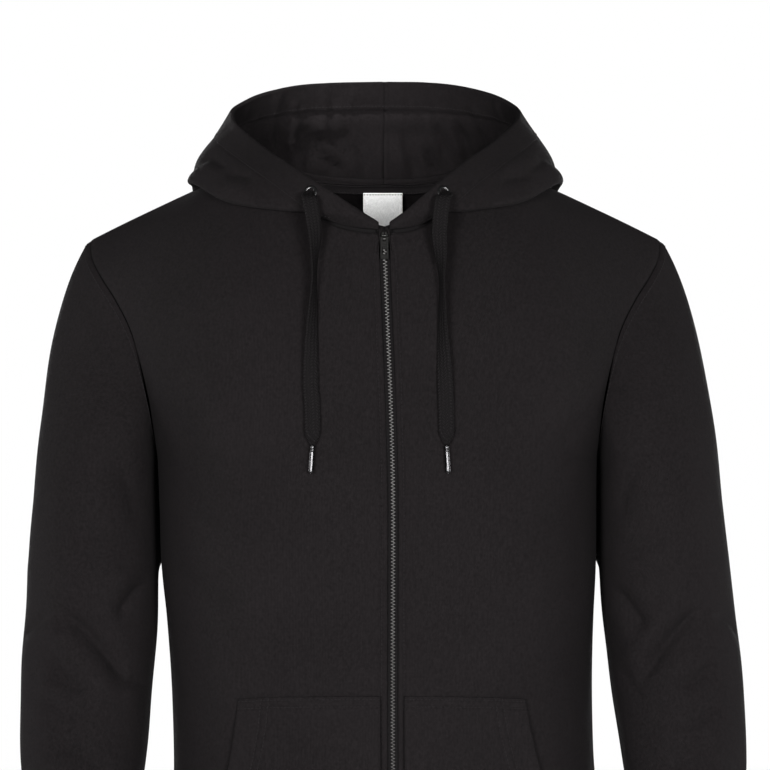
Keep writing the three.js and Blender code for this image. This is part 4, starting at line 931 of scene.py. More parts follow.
def braided(name, colour, across, along_way, depth, roughness=0.8):
    """Plaited or herringbone threads: two slanted waves on the flat map that meet along the middle lines,
    with painted shade in the hollows between them.
    """
    material, tree, shader = new_material(name, roughness, specular=0.08)
    parts = new_node(tree, "SeparateXYZ", Vector=flat_map(tree))
    u = times(parts.outputs[0], 1 / (MM * across))
    v = times(parts.outputs[1], 1 / (MM * along_way))
    zigzag = maths("PINGPONG", u, 1.0)
    wave = maths("SINE", times(plus(v, zigzag), 2 * np.pi))
    edge = maths("ABSOLUTE", maths("SINE", times(u, np.pi)))
    height = times(plus(times(wave, 0.5), 0.6), edge)
    # painted shade: the colour is darker where the plaits are low
    painted_shade = plus(times(height, 0.7), 0.6)
    tinted(shader, colour, times(mottled(tree, 0.1, 0.4), painted_shade))
    bumped(shader, height, depth)
    return material


def metal(name, colour, roughness, scratches=0.12):
    """A plated metal with slightly uneven polish and fine dents."""
    material, tree, shader = new_material(name, roughness, metallic=1.0)
    noise = new_node(tree, "TexNoise", Vector=object_place(tree), Scale=700, Detail=5).outputs["Fac"]
    spread = times(maths("SUBTRACT", noise, 0.5), 2 * scratches)
    fill_in(shader, {"Roughness": plus(spread, roughness)})
    tinted(shader, colour, plus(spread, 1.0))
    bumped(shader, noise, 0.04)
    return material


FLEECE = knitted("fleece", (0.0086, 0.0074, 0.0078), 1.3, 0.95, 0.24, 1.0, 0.004)
RIB = knitted("rib", (0.0082, 0.0070, 0.0074), 1.2, 0.9, 0.16, 0.6, 0.004)
TAPE_CLOTH = braided("zip_tape", (0.0056, 0.0049, 0.0052), 1.6, 1.1, 0.12)
BRAID = braided("braid", (0.0060, 0.0052, 0.0055), 3.25, 2.6, 0.5)
HERRINGBONE = braided("neck_tape", (0.0115, 0.0100, 0.0106), 2.5, 1.5, 0.15)
THREAD = braided("thread", (0.0190, 0.0166, 0.0175), 1.0, 1.0, 0.05, 0.7)
SATIN = braided("label_satin", (0.98, 0.98, 0.97), 0.5, 0.6, 0.05, 0.5)
NICKEL = metal("zip_metal", (0.115, 0.112, 0.11), 0.32)
# A darker copy of the zip metal: its darkness is painted shade on the slider, the pull and the stops
SHADED_ZIP_METAL = metal("slider_metal_painted_shade", (0.045, 0.044, 0.043), 0.34)
BLACK_METAL = metal("eyelet_metal", (0.09, 0.089, 0.09), 0.3)
AGLET_METAL = metal("aglet_metal", (0.06, 0.059, 0.061), 0.26)


# The camera stands where the photograph was taken from
CAMERA = {"x": 8.8, "y": -3200, "z": -200, "frame": 677.6, "sensor": 36}


def make_camera():
    data = bpy.data.cameras.new("camera")
    data.sensor_width = CAMERA["sensor"]
    data.lens = CAMERA["sensor"] * -CAMERA["y"] / CAMERA["frame"]
    data.clip_end = 50
    camera = in_scene("camera", data)
    camera.location = [CAMERA[k] * MM for k in "xyz"]
    camera.rotation_euler = (np.pi / 2, 0, 0)
    bpy.context.scene.camera = camera


make_camera()


# The hood's grid comes before the cords, because their eyelets lie on it
HOOD_STATIONS = joined((0, 1, 9), (1, 12, 140))
HOOD_STEPS = {"slack": 84, "casing": 16, "casing_above": 0.6}


def hood_shares(stations):
    """Even steps up to the casing's edge, then closer steps over it to the rim."""
    fine = hood_grid(stations, np.tile(np.linspace(0, 1, 81), (len(stations), 1)))
    edge = np.maximum(HOOD_STEPS["casing_above"], 1 - CASING["width"] / run(fine, 1)[:, -1])[:, None]
    slack = np.linspace(0, 1, HOOD_STEPS["slack"])[None, :-1]
    casing = np.linspace(0, 1, HOOD_STEPS["casing"])[None, :]
    return np.concatenate([edge * slack, mix(edge, 1, casing)], 1)


hood_plain = hood_grid(HOOD_STATIONS, hood_shares(HOOD_STATIONS))
hood_plain[-1, :, 0] = SEAM_GAP / 2
hood_normals = facing(hood_plain, 1)


def eyelet_place(side):
    """An eyelet's middle, and the way it faces, which is the hood's nearest normal."""
    low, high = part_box(f"eyelet_{side}")
    middle = np.array([(a + b) / 2 for a, b in zip(low, high)]) / MM
    sign = SIDES[side]
    near = np.linalg.norm(hang(mirrored(hood_plain, sign)) - middle, axis=-1)
    face = hood_normals[np.unravel_index(near.argmin(), near.shape)]
    return middle, unit(mirrored(face, sign))


def cord_frame(side):
    """The cord's centreline and the flat way across it at even steps: smooth curves through its route's
    points, turned about the line by the route's own turn."""
    middle, face = eyelet_place(side)
    mouth = middle + face * (EYELET["rise"] / 2 + SEAM_GAP)
    drop = mouth + face * CORD["bend"] - np.array([0, 0, 0.8 * CORD["bend"]])
    route = np.array([[*mouth, 0], [*drop, 0], *CORD_ROUTES[side]])
    u = np.linspace(0, len(route) - 1, CORD["steps"])
    curve = smooth(np.arange(len(route)), route, u)
    line, turn = curve[:, :3], np.radians(curve[:, 3:])
    way = unit(np.gradient(line, axis=0))
    across = np.array([1.0, 0, 0])
    flat = unit(across - way * (way @ across)[:, None])
    wide = flat * np.cos(turn) + np.cross(flat, way) * np.sin(turn)
    return line, way, wide, np.cross(wide, way)


def tube(name, rings, material, replaces):
    """A closed tube through rings of points, each end closed by one face. Its flat map is the length round
    it and along it, with one line more than it has sides."""
    count, sides = rings.shape[:2]
    faces, corners = grid_faces(sides, count, 0, True)
    faces = faces % count * sides + faces // count
    vertices = rings.reshape(-1, 3)
    first = np.arange(sides)
    if volume_sign(vertices, faces) < 0:
        faces, corners, first = faces[:, ::-1], corners[:, ::-1], first[::-1]
    caps = [first, first[::-1] + (count - 1) * sides]
    corners = np.concatenate([corners.ravel(), np.full(sides, 0), np.full(sides, count - 1)])
    closed = np.concatenate([rings, rings[:, :1]], 1).swapaxes(0, 1)
    uv = np.stack([run(closed, 0), run(closed, 1)], -1).reshape(-1, 2)
    return add_piece(name, vertices, [faces, caps], material, uv, corners, replaces)


def make_cord(side):
    """A flat braid: a rounded oblong section along the cord's line, drawn in at the eyelet and at its end."""
    line, way, wide, deep = cord_frame(side)
    length = run(line)
    tip = np.array(CORD_TIPS[side])
    left = np.linalg.norm(line - tip, axis=1) - AGLET["length"]
    out = CORD["mouth"] + length * CORD_ENDS["opening"]
    narrow = np.clip(np.minimum(left, out) / CORD["neck"], 0, 1)
    half_width = mix(AGLET["radius"] * CORD_ENDS["width"], CORD["width"] / 2, np.sin(narrow * np.pi / 2))
    half_deep = mix(AGLET["radius"] * CORD_ENDS["depth"], CORD["thickness"] / 2, narrow)
    angle = 2 * np.pi * (np.arange(CORD["sides"]) + 0.5) / CORD["sides"]
    round_x = np.sign(np.cos(angle)) * np.abs(np.cos(angle)) ** CORD_ENDS["roundness"]
    plaits = PLAIT["depth"] * np.sin(2 * np.pi * length / PLAIT["pitch"])[:, None] * np.ones_like(angle)
    across = (half_width[:, None] + plaits)[..., None] * round_x[:, None]
    thick = (half_deep[:, None] * np.sin(angle))[..., None]
    rings = line[:, None] + wide[:, None] * across + deep[:, None] * thick
    cord = tube(f"cord_{side}", rings, BRAID, [f"drawcord_{side}"])
    aglet = make_aglet(side, line[-1], tip)


def make_aglet(side, start, tip):
    """A metal tip: a round profile along its axis, crimped by two grooves and rounded at its end."""
    axis = unit(tip - start)
    flat = unit(np.cross(axis, [0, 1, 0]))
    deep = np.cross(flat, axis)
    along_it = joined((SEAM_GAP, 1.4, 8), (1.4, 21, 60), (21, AGLET["length"], 16))
    end = np.clip((along_it - AGLET["tip"]) / (AGLET["length"] - AGLET["tip"]), 0, 1)
    radius = AGLET["radius"] * np.sqrt(np.maximum(AGLET["blunt"], 1 - end ** AGLET["tip_power"]))
    crimps = sum(bell(along_it - at, AGLET["crimp_width"]) for at in AGLET["crimps"])
    radius -= AGLET["crimp"] * (crimps + 2 * bell(along_it - SEAM_GAP, AGLET["start_width"]))
    angle = np.linspace(0, 2 * np.pi, 33)[:-1]
    circle = flat * np.cos(angle)[:, None] + deep * np.sin(angle)[:, None]
    rings = start + axis * along_it[:, None, None] + circle * radius[:, None, None]
    return tube(f"tip_{side}", rings, AGLET_METAL, [f"aglet_{side}"])


for side_name in SIDES:
    make_cord(side_name)


# The cloth
SEAM_DIP = {"depth": 1.3, "width": 2.0}
NECK_DIP = {"depth": 1.1, "width": 2.6}
EDGE_ROUND = {"depth": 0.55, "width": 1.1}
GROOVE = {"depth": 0.7, "width": 0.9}
SEAM_CALM = 14  # folds die out this near to a seam


def sunk(form, distance):
    """A trough or a swelling at a distance from its middle line."""
    return form["depth"] * bell(distance, form["width"])


def calm(runs, edges):
    """A factor that is 0 at the sewn edges and 1 away from them."""
    total = 1.0
    for edge in edges:
        total = total * (1 - bell(runs[edge], SEAM_CALM))
    return total


def dressed(grid, sign, name, seams, grooves, seed, around=False, uneven=0.8):
    """The outer surface of a panel with its folds, its unevenness, its sunk seams and its stitched
    grooves, and the plain normals."""
    grid = mirrored(grid, sign)
    normals = facing(grid, sign * (-1 if name == "back" else 1), around)
    runs = edge_runs(grid)
    rise = folded(grid, normals, FOLDS[name], sign) + undulation(grid, uneven, seed)
    rise = rise * calm(runs, seams)
    for edge in seams:
        rise = rise - sunk(SEAM_DIP, runs[edge])
    for edge, distance in grooves:
        rise = rise - sunk(GROOVE, runs[edge] - distance)
    return grid + normals * rise[..., None], normals, runs


def cloth_wall(outer, normals, thickness, name, around=False, slot="fleece"):
    """A wall of cloth inside its outer surface, in a solid's place."""
    inner = outer - normals * thickness
    material = RIB if slot == "rib" else FLEECE
    piece = wall(f"cloth_{name}", hang(outer), hang(inner), material, around, [name])


FRONT_STITCH = 5.4
SLEEVE_STITCH = 5.5
SEEDS = {"front": 3, "back": 11, "sleeve": 21, "hood": 31, "pocket": 41}  # for the cloth's unevenness
FRONT_GROOVE = {"depth": 1.0, "width": GROOVE["width"], "thins": 0.8}  # the share that thins the cloth
panels = {}


def make_fronts():
    across = joined((0, 0.05, 18), (0.05, FRONT_CORNER, 24), (FRONT_CORNER, 0.95, 56), (0.95, 1, 10))
    below = joined((0, 0.03, 9), (0.03, 1, 112))
    above = joined((0, 0.9, 62), (0.9, 1, 14))
    grid = panel_grid("front", across, below, above)
    for side, sign in SIDES.items():
        name = f"front_{side}"
        seams, grooves = ("last", "low", "high"), [("first", FRONT_STITCH)]
        outer, normals, runs = dressed(grid, sign, name, seams, grooves, SEEDS["front"] + sign)
        rounding = sunk(EDGE_ROUND, runs["first"])
        groove = sunk(FRONT_GROOVE, runs["first"] - FRONT_STITCH)
        outer = outer - normals * (rounding + groove)[..., None]
        thickness = (CLOTH - rounding - groove * FRONT_GROOVE["thins"])[..., None]
        cloth_wall(outer, normals, thickness, name)
        panels[name] = (hang(outer), normals)
        sew("fronts", *parallel(*panels[name], "first", FRONT_STITCH))


def make_back():
    half = joined((0, BACK_CORNER, 22), (BACK_CORNER, 0.95, 50), (0.95, 1, 9))
    below = joined((0, 0.03, 8), (0.03, 1, 92))
    above = joined((0, 0.9, 54), (0.9, 1, 13))
    grid = panel_grid("back", half, below, above)
    whole = np.concatenate([mirrored(grid, -1)[:0:-1], grid])
    seams = ("first", "last", "low", "high")
    outer, normals, _ = dressed(whole, 1, "back", seams, [], SEEDS["back"])
    cloth_wall(outer, normals, CLOTH, "back")
    panels["back_inner"] = (hang(outer - normals * CLOTH), normals)
    panels["back_neck"] = (len(half) - 1, int(np.searchsorted(half, BACK_CORNER)))


def make_sleeves():
    turns = np.arange(165) / 165 + 0.5
    head = joined((0, 0.06, 10), (0.06, 1, 40))
    down = joined((0, 0.22, 24), (0.22, 0.6, 70), (0.6, 0.96, 46), (0.96, 1, 9))
    grid = sleeve_grid(turns, head, down)
    for side, sign in SIDES.items():
        name = f"sleeve_{side}"
        outer, normals, _ = dressed(grid, sign, name, ("low", "high"), [], SEEDS["sleeve"] + sign, True)
        cloth_wall(outer, normals, CLOTH, name, around=True)
        sleeve_line = parallel(hang(outer), normals, "low", SLEEVE_STITCH)
        sew("armholes", *[np.concatenate([v, v[:1]]) for v in sleeve_line])


CASING_STITCH = 24
INSIDE_STITCH = 22
HOOD_SEWN_FROM = 12  # the hood's first line with stitches
CASING_PUFF = {"depth": 0.9, "width": 8}

# Puckers of the casing and of the cloth under it: the station, its shift per 25 mm down, depth, width in
# stations, and the distances from the rim at which it starts and ends
PUCKERS = {
    "right": (
        (11.72, 0.06, 1.3, 0.08, 3, 30), (11.38, -0.08, 1.6, 0.09, 6, 44),
        (11.06, 0.05, 2.0, 0.08, 18, 50), (10.7, 0.1, 2.2, 0.09, 2, 58),
        (10.36, -0.06, 1.8, 0.08, 20, 62), (10.02, 0.1, 2.4, 0.1, 14, 66),
        (9.55, 0.05, 1.8, 0.1, 2, 40), (9.1, -0.08, 1.6, 0.1, 18, 52),
        (8.5, 0.05, 1.0, 0.1, 3, 28), (7.7, 0.04, 0.9, 0.12, 4, 26),
        (6.2, -0.04, 0.8, 0.12, 5, 27),
    ),
    "left": (
        (11.6, -0.05, 1.4, 0.09, 3, 34), (11.22, 0.08, 1.8, 0.08, 14, 46),
        (10.86, -0.04, 2.0, 0.09, 2, 40), (10.5, 0.07, 1.5, 0.08, 20, 60),
        (10.12, 0.06, 1.7, 0.09, 4, 42), (9.74, -0.1, 2.6, 0.1, 16, 62),
        (9.35, 0.05, 2.0, 0.09, 20, 64), (8.8, 0.04, 1.4, 0.1, 3, 36),
        (8.0, -0.04, 1.0, 0.12, 5, 27), (6.7, 0.04, 0.8, 0.12, 4, 25),
    ),
}
PUCKER = {"start": 8, "end": 14, "shift_over": 25, "calm": 8}

# The ridge in which the cloth bunches inside the hood: its height and its distance from the rim at stations
BUNCHING = {
    "right": table(
        "at height down",
        (8.4, 0, 46), (9.2, 1.6, 43), (9.8, 2.8, 41), (10.4, 2.2, 38),
        (11, 3.2, 40), (11.6, 2.2, 38), (12, 2.6, 39),
    ),
    "left": table(
        "at height down",
        (8.2, 0, 48), (8.9, 2.4, 45), (9.4, 3.2, 42), (10.2, 1.8, 40),
        (10.9, 2.6, 38), (11.5, 1.6, 40), (12, 2.6, 39),
    ),
}
BUNCHING_WIDTH = 3.6
SWELLING = {"depth": 1.5, "width": 4, "below": 7}
BUNCHED = {"from": 6.5, "over": 1.5}  # the stations over which the cloth begins to bunch
CASING_SHADE = {"depth": 0.7, "width": 1.1, "below": 1.8}  # the cloth is thinner close under the casing


def bunched(runs, side):
    """How far the cloth below the casing stands in: a soft swelling under its edge, and the ridge."""
    station = HOOD_STATIONS[:, None]
    down = runs["high"]
    row = level(BUNCHING[side], "at", np.maximum(station, BUNCHING[side]["at"][0]))
    inside = step_up((station - BUNCHED["from"]) / BUNCHED["over"])
    swelling = sunk(SWELLING, down - CASING["width"] - SWELLING["below"])
    ridge = np.maximum(row["height"], 0) * bell(down - row["down"], BUNCHING_WIDTH)
    return inside * (swelling + ridge)


def puckered(runs, side):
    """How far the puckers draw the cloth in: narrow troughs that start and end by smooth steps."""
    station = HOOD_STATIONS[:, None]
    down = runs["high"]
    total = np.zeros(down.shape)
    for at, shift, depth, width, first, last in PUCKERS[side]:
        start = step_up((down - first + PUCKER["start"] / 2) / PUCKER["start"])
        fade = start * step_up((last - down) / PUCKER["end"])
        total -= depth * fade * bell(station - at - shift * down / PUCKER["shift_over"], width)
    return total


def make_hood():
    for side, sign in SIDES.items():
        name = f"hood_{side}"
        grooves, seed = [("high", CASING_STITCH)], SEEDS["hood"] + sign
        outer, normals, runs = dressed(hood_plain, sign, name, ("last", "low"), grooves, seed, uneven=0.9)
        pulled = puckered(runs, side) * (1 - bell(runs["last"], PUCKER["calm"])) - bunched(runs, side)
        pulled = pulled - sunk(NECK_DIP, runs["low"])
        outer = outer + normals * pulled[..., None]
        rounding = sunk(EDGE_ROUND, runs["high"])
        outer = outer - normals * rounding[..., None]
        casing = step_up((CASING["width"] + CASING["edge"] / 2 - runs["high"]) / CASING["edge"])
        puff = sunk(CASING_PUFF, runs["high"] - CASING["width"] / 2)
        under = sunk(CASING_SHADE, runs["high"] - CASING["width"] - CASING_SHADE["below"])
        thickness = (CLOTH + CASING["thickness"] * casing + puff - rounding - under)[..., None]
        cloth_wall(outer, normals, thickness, name)
        inner = outer - normals * thickness
        for face, faces_to, distance in ((outer, normals, CASING_STITCH), (inner, -normals, INSIDE_STITCH)):
            line, up = parallel(hang(face), faces_to, "high", distance)
            sew("hood", line[HOOD_SEWN_FROM:], up[HOOD_SEWN_FROM:])


def ribs(share, count):
    """The rise of ribs at a share of the way round: a rounded ridge and a narrow valley."""
    return RIB_FORM["rise"] * np.abs(np.cos(np.pi * count * share)) ** RIB_FORM["roundness"]


def hem_draw(z):
    return 1 - HEM["draw"] * np.sin(np.pi / 2 * (HEM["top"] - z) / (HEM["top"] - HEM["bottom"]))


BAND_DIP = {"high": {"depth": 0.9, "width": 1.6}, "low": {"depth": 0.5, "width": 1.6}}


def banded(grid, sign, around, count, name):
    """A ribbed band: ribs along the cloth's length on the outer side, dying out at both edges."""
    rows = grid.shape[0]
    share = np.arange(rows) / (rows if around else rows - 1)
    normals = facing(grid, sign, around)
    runs = edge_runs(grid)
    ends = step_up(runs["low"] / RIB_FORM["edge"]) * step_up(runs["high"] / RIB_FORM["edge"])
    rise = ribs(share, count)[:, None] * mix(RIB_FORM["edge_share"], 1, ends)
    rise = rise - sunk(BAND_DIP["high"], runs["high"]) - sunk(BAND_DIP["low"], runs["low"])
    outer = grid + normals * rise[..., None]
    cloth_wall(outer, normals, (RIB_CLOTH + rise)[..., None], name, around, slot="rib")


RIB_STEPS = 5
BAND_LEVELS = joined((0, 0.14, 6), (0.14, 0.86, 9), (0.86, 1, 6))


def make_bands():
    spans = HEM["ribs"] * RIB_STEPS
    turn = np.linspace(-180, 180, spans + 1)[:, None]
    z = mix(HEM["bottom"], HEM["top"] - SEAM_GAP, BAND_LEVELS)[None, :]
    top = body_point(np.full(turn.shape, HEM["top"]), 180 - np.abs(turn))
    draw = hem_draw(z)
    x = top[..., 0] * draw * np.where(turn > 0, -1, 1)
    y = SIDE_Y + (top[..., 1] - SIDE_Y) * draw
    grid = points(x, y, np.broadcast_to(z, x.shape))
    outward = 1 if facing(grid, 1)[0, 5, 1] < 0 else -1
    banded(grid, outward, False, HEM["ribs"], "hem_band")
    spans = CUFF["ribs"] * RIB_STEPS
    share = (np.arange(spans) / spans + 0.5)[:, None]
    t = 1 - BAND_LEVELS[None, :]
    top = {name: column[0] for name, column in SLEEVE.items()}
    row = {name: mix(top[name], CUFF_MOUTH[name], t) for name in CUFF_MOUTH}
    x, y = sleeve_section(row, 2 * np.pi * share)
    grid = points(x, y, np.broadcast_to(mix(CUFF["bottom"], CUFF["top"], 1 - t), x.shape))
    outward = 1 if facing(grid, 1, True)[spans // 2, 5, 0] > 0 else -1
    for side, sign in SIDES.items():
        banded(mirrored(grid, sign), outward * sign, True, CUFF["ribs"], f"cuff_{side}")


def make_pockets():
    share = joined((0, 0.72, 50), (0.72, 1, 34))[:, None]
    rise = joined((0, 0.92, 70), (0.92, 1, 18))[None, :]
    z = mix(POCKET["bottom"], POCKET["top"] - POCKET["drop"] * share**2, rise)
    reach = level(BODY, "z", z)["half"] - FRONT_EDGE

    def turn_at(x):
        return np.degrees(np.arcsin(np.clip((x - FRONT_EDGE) / reach, 0, 1) ** (1 / ROUNDNESS)))

    edge = smooth(POCKET_EDGE["z"], POCKET_EDGE["x"], z)
    grid = body_point(z, mix(turn_at(POCKET["inner"]), turn_at(edge), share))
    for side, sign in SIDES.items():
        plain = mirrored(grid, sign)
        normals = facing(plain, sign)
        runs = edge_runs(plain)
        folds = folded(plain, normals, FOLDS[f"front_{side}"], sign) * POCKET["folds"]
        lift = POCKET["rise"] + POCKET["thickness"] + folds
        uneven = undulation(plain, POCKET["uneven"], SEEDS["pocket"] + sign)
        lift = lift + uneven * calm(runs, ("first", "high", "low"))
        ends = [step_up(runs[edge_name] / POCKET_GAPE["ends"]) for edge_name in ("high", "low")]
        lift = lift + sunk(POCKET_GAPE, runs["last"]) * ends[0] * ends[1]
        for edge_name in ("last", "high", "first"):
            lift = lift - sunk(EDGE_ROUND, runs[edge_name])
        for edge_name, distance in POCKET_STITCHES:
            lift = lift - sunk(GROOVE, runs[edge_name] - distance)
        outer = plain + normals * lift[..., None]
        cloth_wall(outer, normals, POCKET["thickness"], f"pocket_{side}")
        for edge_name, distance in POCKET_STITCHES:
            sew("pockets", *parallel(hang(outer), normals, edge_name, distance))


make_fronts()
make_back()
make_sleeves()
make_hood()
make_bands()
make_pockets()


# The zip
def centre_front(z):
    """The depth of the outer face along the centre front, on the hem band and above it."""
    line = panel_grid("front", np.array([0.0, 0.01]), np.linspace(0, 1, 60), np.linspace(0, 1, 60))[0]
    on_band = SIDE_Y + (BODY["front"][0] - SIDE_Y) * hem_draw(z)
    return np.where(z < HEM["top"], on_band, np.interp(z, line[:, 2], line[:, 1]))


def make_teeth():
    """Two rows of teeth, half a pitch apart, that reach past the middle. Each is a block of three layers
    of four corners, narrowed towards its front."""
    count = int((ZIP["top"] - ZIP["bottom"]) / TOOTH["pitch"])
    vertices = []
    for sign in SIDES.values():
        z = ZIP["bottom"] + TOOTH["pitch"] * (np.arange(count) + (0.5 if sign > 0 else 1.0))
        inside, outside = -TOOTH["overlap"] * sign, TOOTH["reach"] * sign
        y = ZIP["recess"] + np.array([ZIP["depth"], TOOTH["chamfer"], 0.0])
        inset = np.array([0.0, 0.0, TOOTH["chamfer"]])
        corners = []
        for depth, cut in zip(y, inset):
            half = TOOTH["height"] / 2 - cut * 0.8
            for x, dz in ((inside, -half), (outside, -half), (outside, half), (inside, half)):
                corners.append((x - np.sign(x) * cut, depth, dz))
        template = np.array(corners)
        centre = points(0, centre_front(z), z)
        vertices.append((centre[:, None] + template).reshape(-1, 3))
    vertices = hang(np.concatenate(vertices))
    here, after = np.arange(4), (np.arange(4) + 1) % 4
    side = np.stack([here, after, after + 4, here + 4], -1)
    block = np.concatenate([side, side + 4, here[None, ::-1], here[None] + 8])
    size = len(template)
    faces = []
    for first in (0, count * size):
        (turned,) = right_way_out(vertices[first : first + size], block)
        each = first + np.arange(count)[:, None, None] * size
        faces.append((turned[None] + each).reshape(-1, 4))
    teeth = add_piece("zip_teeth", vertices, faces, NICKEL, replaces=["zip_chain"])
    teeth.data.polygons.foreach_set("use_smooth", np.zeros(len(teeth.data.polygons), bool))


def make_zip_tapes():
    """Each tape: a thin strip from under the teeth, back behind the edge of the front."""
    z = np.linspace(ZIP["bottom"], ZIP["top"] + 4, 220)[None, :]
    x = joined((TAPE_STEP["edge"], 5, 14), (5, ZIP["tape"], 12))[:, None]
    behind = CLOTH + LAID_GAP
    back = step_up((x - TAPE_STEP["from"]) / TAPE_STEP["over"])
    depth = mix(ZIP["recess"] + TAPE_STEP["under"], behind, back)
    depth = depth + ZIP["fall"] * np.maximum(0, x - FRONT_EDGE)
    grid = points(x, centre_front(z) + depth, z)
    for side, sign in SIDES.items():
        outer = mirrored(grid, sign)
        back = outer + np.array([0, ZIP["tape_cloth"], 0])
        wall(f"tape_{side}", hang(outer), hang(back), TAPE_CLOTH, replaces=[f"zip_tape_{side}"])


def make_eyelet(side):
    """A pressed ring: a round profile turned about the way it faces."""
    middle, face = eyelet_place(side)
    base = middle - face * (EYELET["rise"] / 2)
    flat = unit(np.cross(face, [0.0, 0, 1.0]))
    up = np.cross(flat, face)
    ring_middle = (EYELET["outer"] + EYELET["inner"]) / 2
    half = (EYELET["outer"] - EYELET["inner"]) / 2
    a = np.linspace(0, 2 * np.pi, 17)[:-1]
    radius = ring_middle + half * np.cos(a)
    swell = EYELET["swell"] * np.abs(np.sin(a)) ** EYELET["power"]
    height = EYELET["seat"] + swell * np.where(np.sin(a) > 0, 1, -EYELET["underside"])
    around = np.linspace(0, 2 * np.pi, 49)[:-1]
    circle = flat * np.cos(around)[:, None] + up * np.sin(around)[:, None]
    grid = base + circle[:, None] * radius[None, :, None] + face * height[None, :, None]
    rows, columns = grid.shape[:2]
    faces, _ = grid_faces(rows, columns, 0, True)
    here = np.arange(rows) * columns
    after = np.roll(here, -1)
    close = np.stack([here + columns - 1, after + columns - 1, after, here], -1)
    vertices = grid.reshape(-1, 3)
    quads = right_way_out(vertices, np.concatenate([faces, close]))
    add_piece(f"grommet_{side}", vertices, quads, BLACK_METAL, replaces=[f"eyelet_{side}"])


def make_allowance():
    """The turned-in cloth of the neck seam: an upright strip inside each front's neck edge. It wears the
    darker zip tape material as painted shade under the hood's lower edge.
    """
    for side in SIDES:
        line, _ = parallel(*panels[f"front_{side}"], "high", 0.01)
        line = line[: int(len(line) * ALLOWANCE["until"])]
        way = unit(np.gradient(line, axis=0) * np.array([1, 1, 0]))
        inward = np.cross(way, [0, 0, 1.0])
        inward = inward * np.sign(-(inward * line).sum(-1, keepdims=True))
        rise = points(0, 0, np.linspace(ALLOWANCE["above"], -ALLOWANCE["below"], 7))[None]
        outer = (line + inward * (CLOTH + ALLOWANCE["off"]))[:, None] + rise
        inner = outer + inward[:, None] * ALLOWANCE["thickness"]
        # the darker tape material is painted shade: the dark line under the hood's overhanging edge
        wall(f"neck_allowance_{side}", outer, inner, TAPE_CLOTH)


def make_neck():
    """The neck tape along the inside of the back's top edge, and the blank label that hangs from it."""
    grid, normals = panels["back_inner"]
    centre, columns = panels["back_neck"]
    part = slice(centre - columns, centre + columns + 1)
    grid, normals = grid[part], normals[part]
    downs = np.linspace(1, 1 + NECK_TAPE["height"], 9)
    rows = [parallel(grid, normals, "high", d) for d in downs]
    places = np.stack([row[0] for row in rows], 1)
    ways = np.stack([row[1] for row in rows], 1)
    off = NECK_TAPE["rise"] * (1 + np.linspace(0, 1, len(downs)))[None, :, None]
    outer = places - ways * off
    inner = outer - ways * NECK_TAPE["thickness"]
    wall("neck_tape_cloth", outer, inner, HERRINGBONE, replaces=["neck_tape"])
    sew("neck", inner[:, 1], -ways[:, 1], **NECK_STITCH)
    sew("neck", inner[:, -2], -ways[:, -2], **NECK_STITCH)
    across = np.linspace(-1, 1, 25)[:, None]
    down = np.linspace(0, 1, 33)[None, :]
    x = across * LABEL["width"] / 2 * np.ones_like(down)
    curl = LABEL["curl"] * np.sin(LABEL["curl_across"] * across + LABEL["curl_down"] * down)
    bow = LABEL["bow"] * np.sin(np.pi * down) * (1 - across**2) + curl * down
    z = LABEL["top"] - LABEL["height"] * down * np.ones_like(across)
    front = points(x, LABEL["y"] - bow, z)
    back = points(x, LABEL["y"] - bow + LABEL["thickness"], z)
    wall("neck_label", hang(front), hang(back), SATIN, replaces=["label"])
    up = np.tile([0.0, -1.0, 0.0], (len(across), 1))
    sew("label", hang(front)[:, 1], up, **LABEL_STITCH)


make_teeth()
make_zip_tapes()
for side_name in SIDES:
    make_eyelet(side_name)
make_neck()
make_allowance()
finish_sewing(THREAD)

# the slider, pull and stops get the darker copy of the zip metal, which paints their shade
METAL_NODES = {SHADED_ZIP_METAL: ("zip_slider", "zip_pull", "zip_stop_right", "zip_stop_left"), NICKEL: ("zip_box",)}
for plating, node_names in METAL_NODES.items():
    for node_name in node_names:
        node_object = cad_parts[node_name]
        node_object.data.materials.clear()
        node_object.data.materials.append(plating)


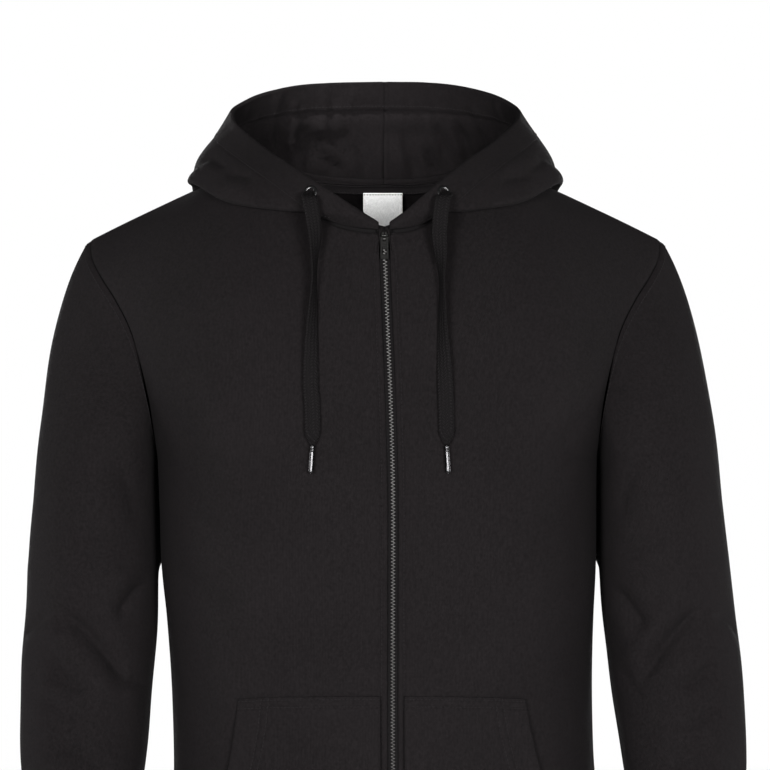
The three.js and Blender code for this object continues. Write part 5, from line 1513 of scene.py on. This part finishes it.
# Studio
def make_floor():
    """A pale round floor under the garment."""
    material, tree, shader = new_material("floor", 0.9)
    tinted(shader, (0.82, 0.82, 0.82), mottled(tree, 0.02, 0.02))
    angle = np.linspace(0, 2 * np.pi, 97)[:-1]
    z = HEM["bottom"] - OUT_OF_VIEW_FLOOR["below_hem"]
    ring = points(np.cos(angle), np.sin(angle), 0) * OUT_OF_VIEW_FLOOR["radius"] + np.array([0, 0, z])
    mesh = bpy.data.meshes.new("floor")
    mesh.from_pydata((ring * MM).tolist(), [], [list(range(len(ring)))])
    mesh.materials.append(material)
    in_scene("floor", mesh)


def place_light(data, place, aim, power):
    """Puts a light at a place, turned to shine at its aim."""
    data.energy = power
    light = in_scene(data.name, data)
    light.location = place
    way = np.array(place) - np.array(aim)
    pitch = np.arctan2(np.hypot(way[0], way[1]), way[2])
    light.rotation_euler = (pitch, 0, np.arctan2(way[1], way[0]) + np.pi / 2)


def disk_light(name, place, aim, power, size):
    data = bpy.data.lights.new(name, "AREA")
    data.shape = "DISK"
    data.size = size
    place_light(data, place, aim, power)


def spot_light(name, place, aim, power, angle):
    """A narrow light, for the inside of the hood."""
    data = bpy.data.lights.new(name, "SPOT")
    data.spot_size = np.radians(angle)
    data.spot_blend = 1.0
    data.shadow_soft_size = 0.06
    place_light(data, place, aim, power)


def make_world():
    """A white backdrop to the eye, and a softer white light on the garment."""
    world = bpy.data.worlds.new("studio")
    bpy.context.scene.world = world
    world.use_nodes = True
    tree = world.node_tree
    seen = new_node(tree, "LightPath").outputs["Is Camera Ray"]
    strength = plus(times(seen, 1 - AMBIENT), AMBIENT)
    fill_in(tree.nodes["Background"], {"Color": (1, 1, 1, 1), "Strength": strength})


AMBIENT = 0.07
make_floor()
disk_light("key", (-1.0, -3.0, -0.1), (0, 0, -0.35), 92, 1.0)
disk_light("fill", (1.0, -3.0, -0.2), (0, 0, -0.35), 92, 1.0)
spot_light("hood_light", (-0.75, -1.0, 1.2), (-0.02, 0.13, 0.01), 260, 7.0)
disk_light("rim_right", (-2.2, 0.7, -0.2), (-0.2, 0, -0.4), 34, 1.0)
disk_light("rim_left", (2.2, 0.7, -0.2), (0.2, 0, -0.4), 34, 1.0)
disk_light("back_right", (-1.3, 3.0, 0.5), (0, 0.1, -0.3), 70, 1.2)
disk_light("back_left", (1.3, 3.0, 0.3), (0, 0.1, -0.3), 60, 1.2)
make_world()
bpy.context.scene.view_settings.view_transform = "Standard"
bpy.context.scene.view_settings.look = "None"
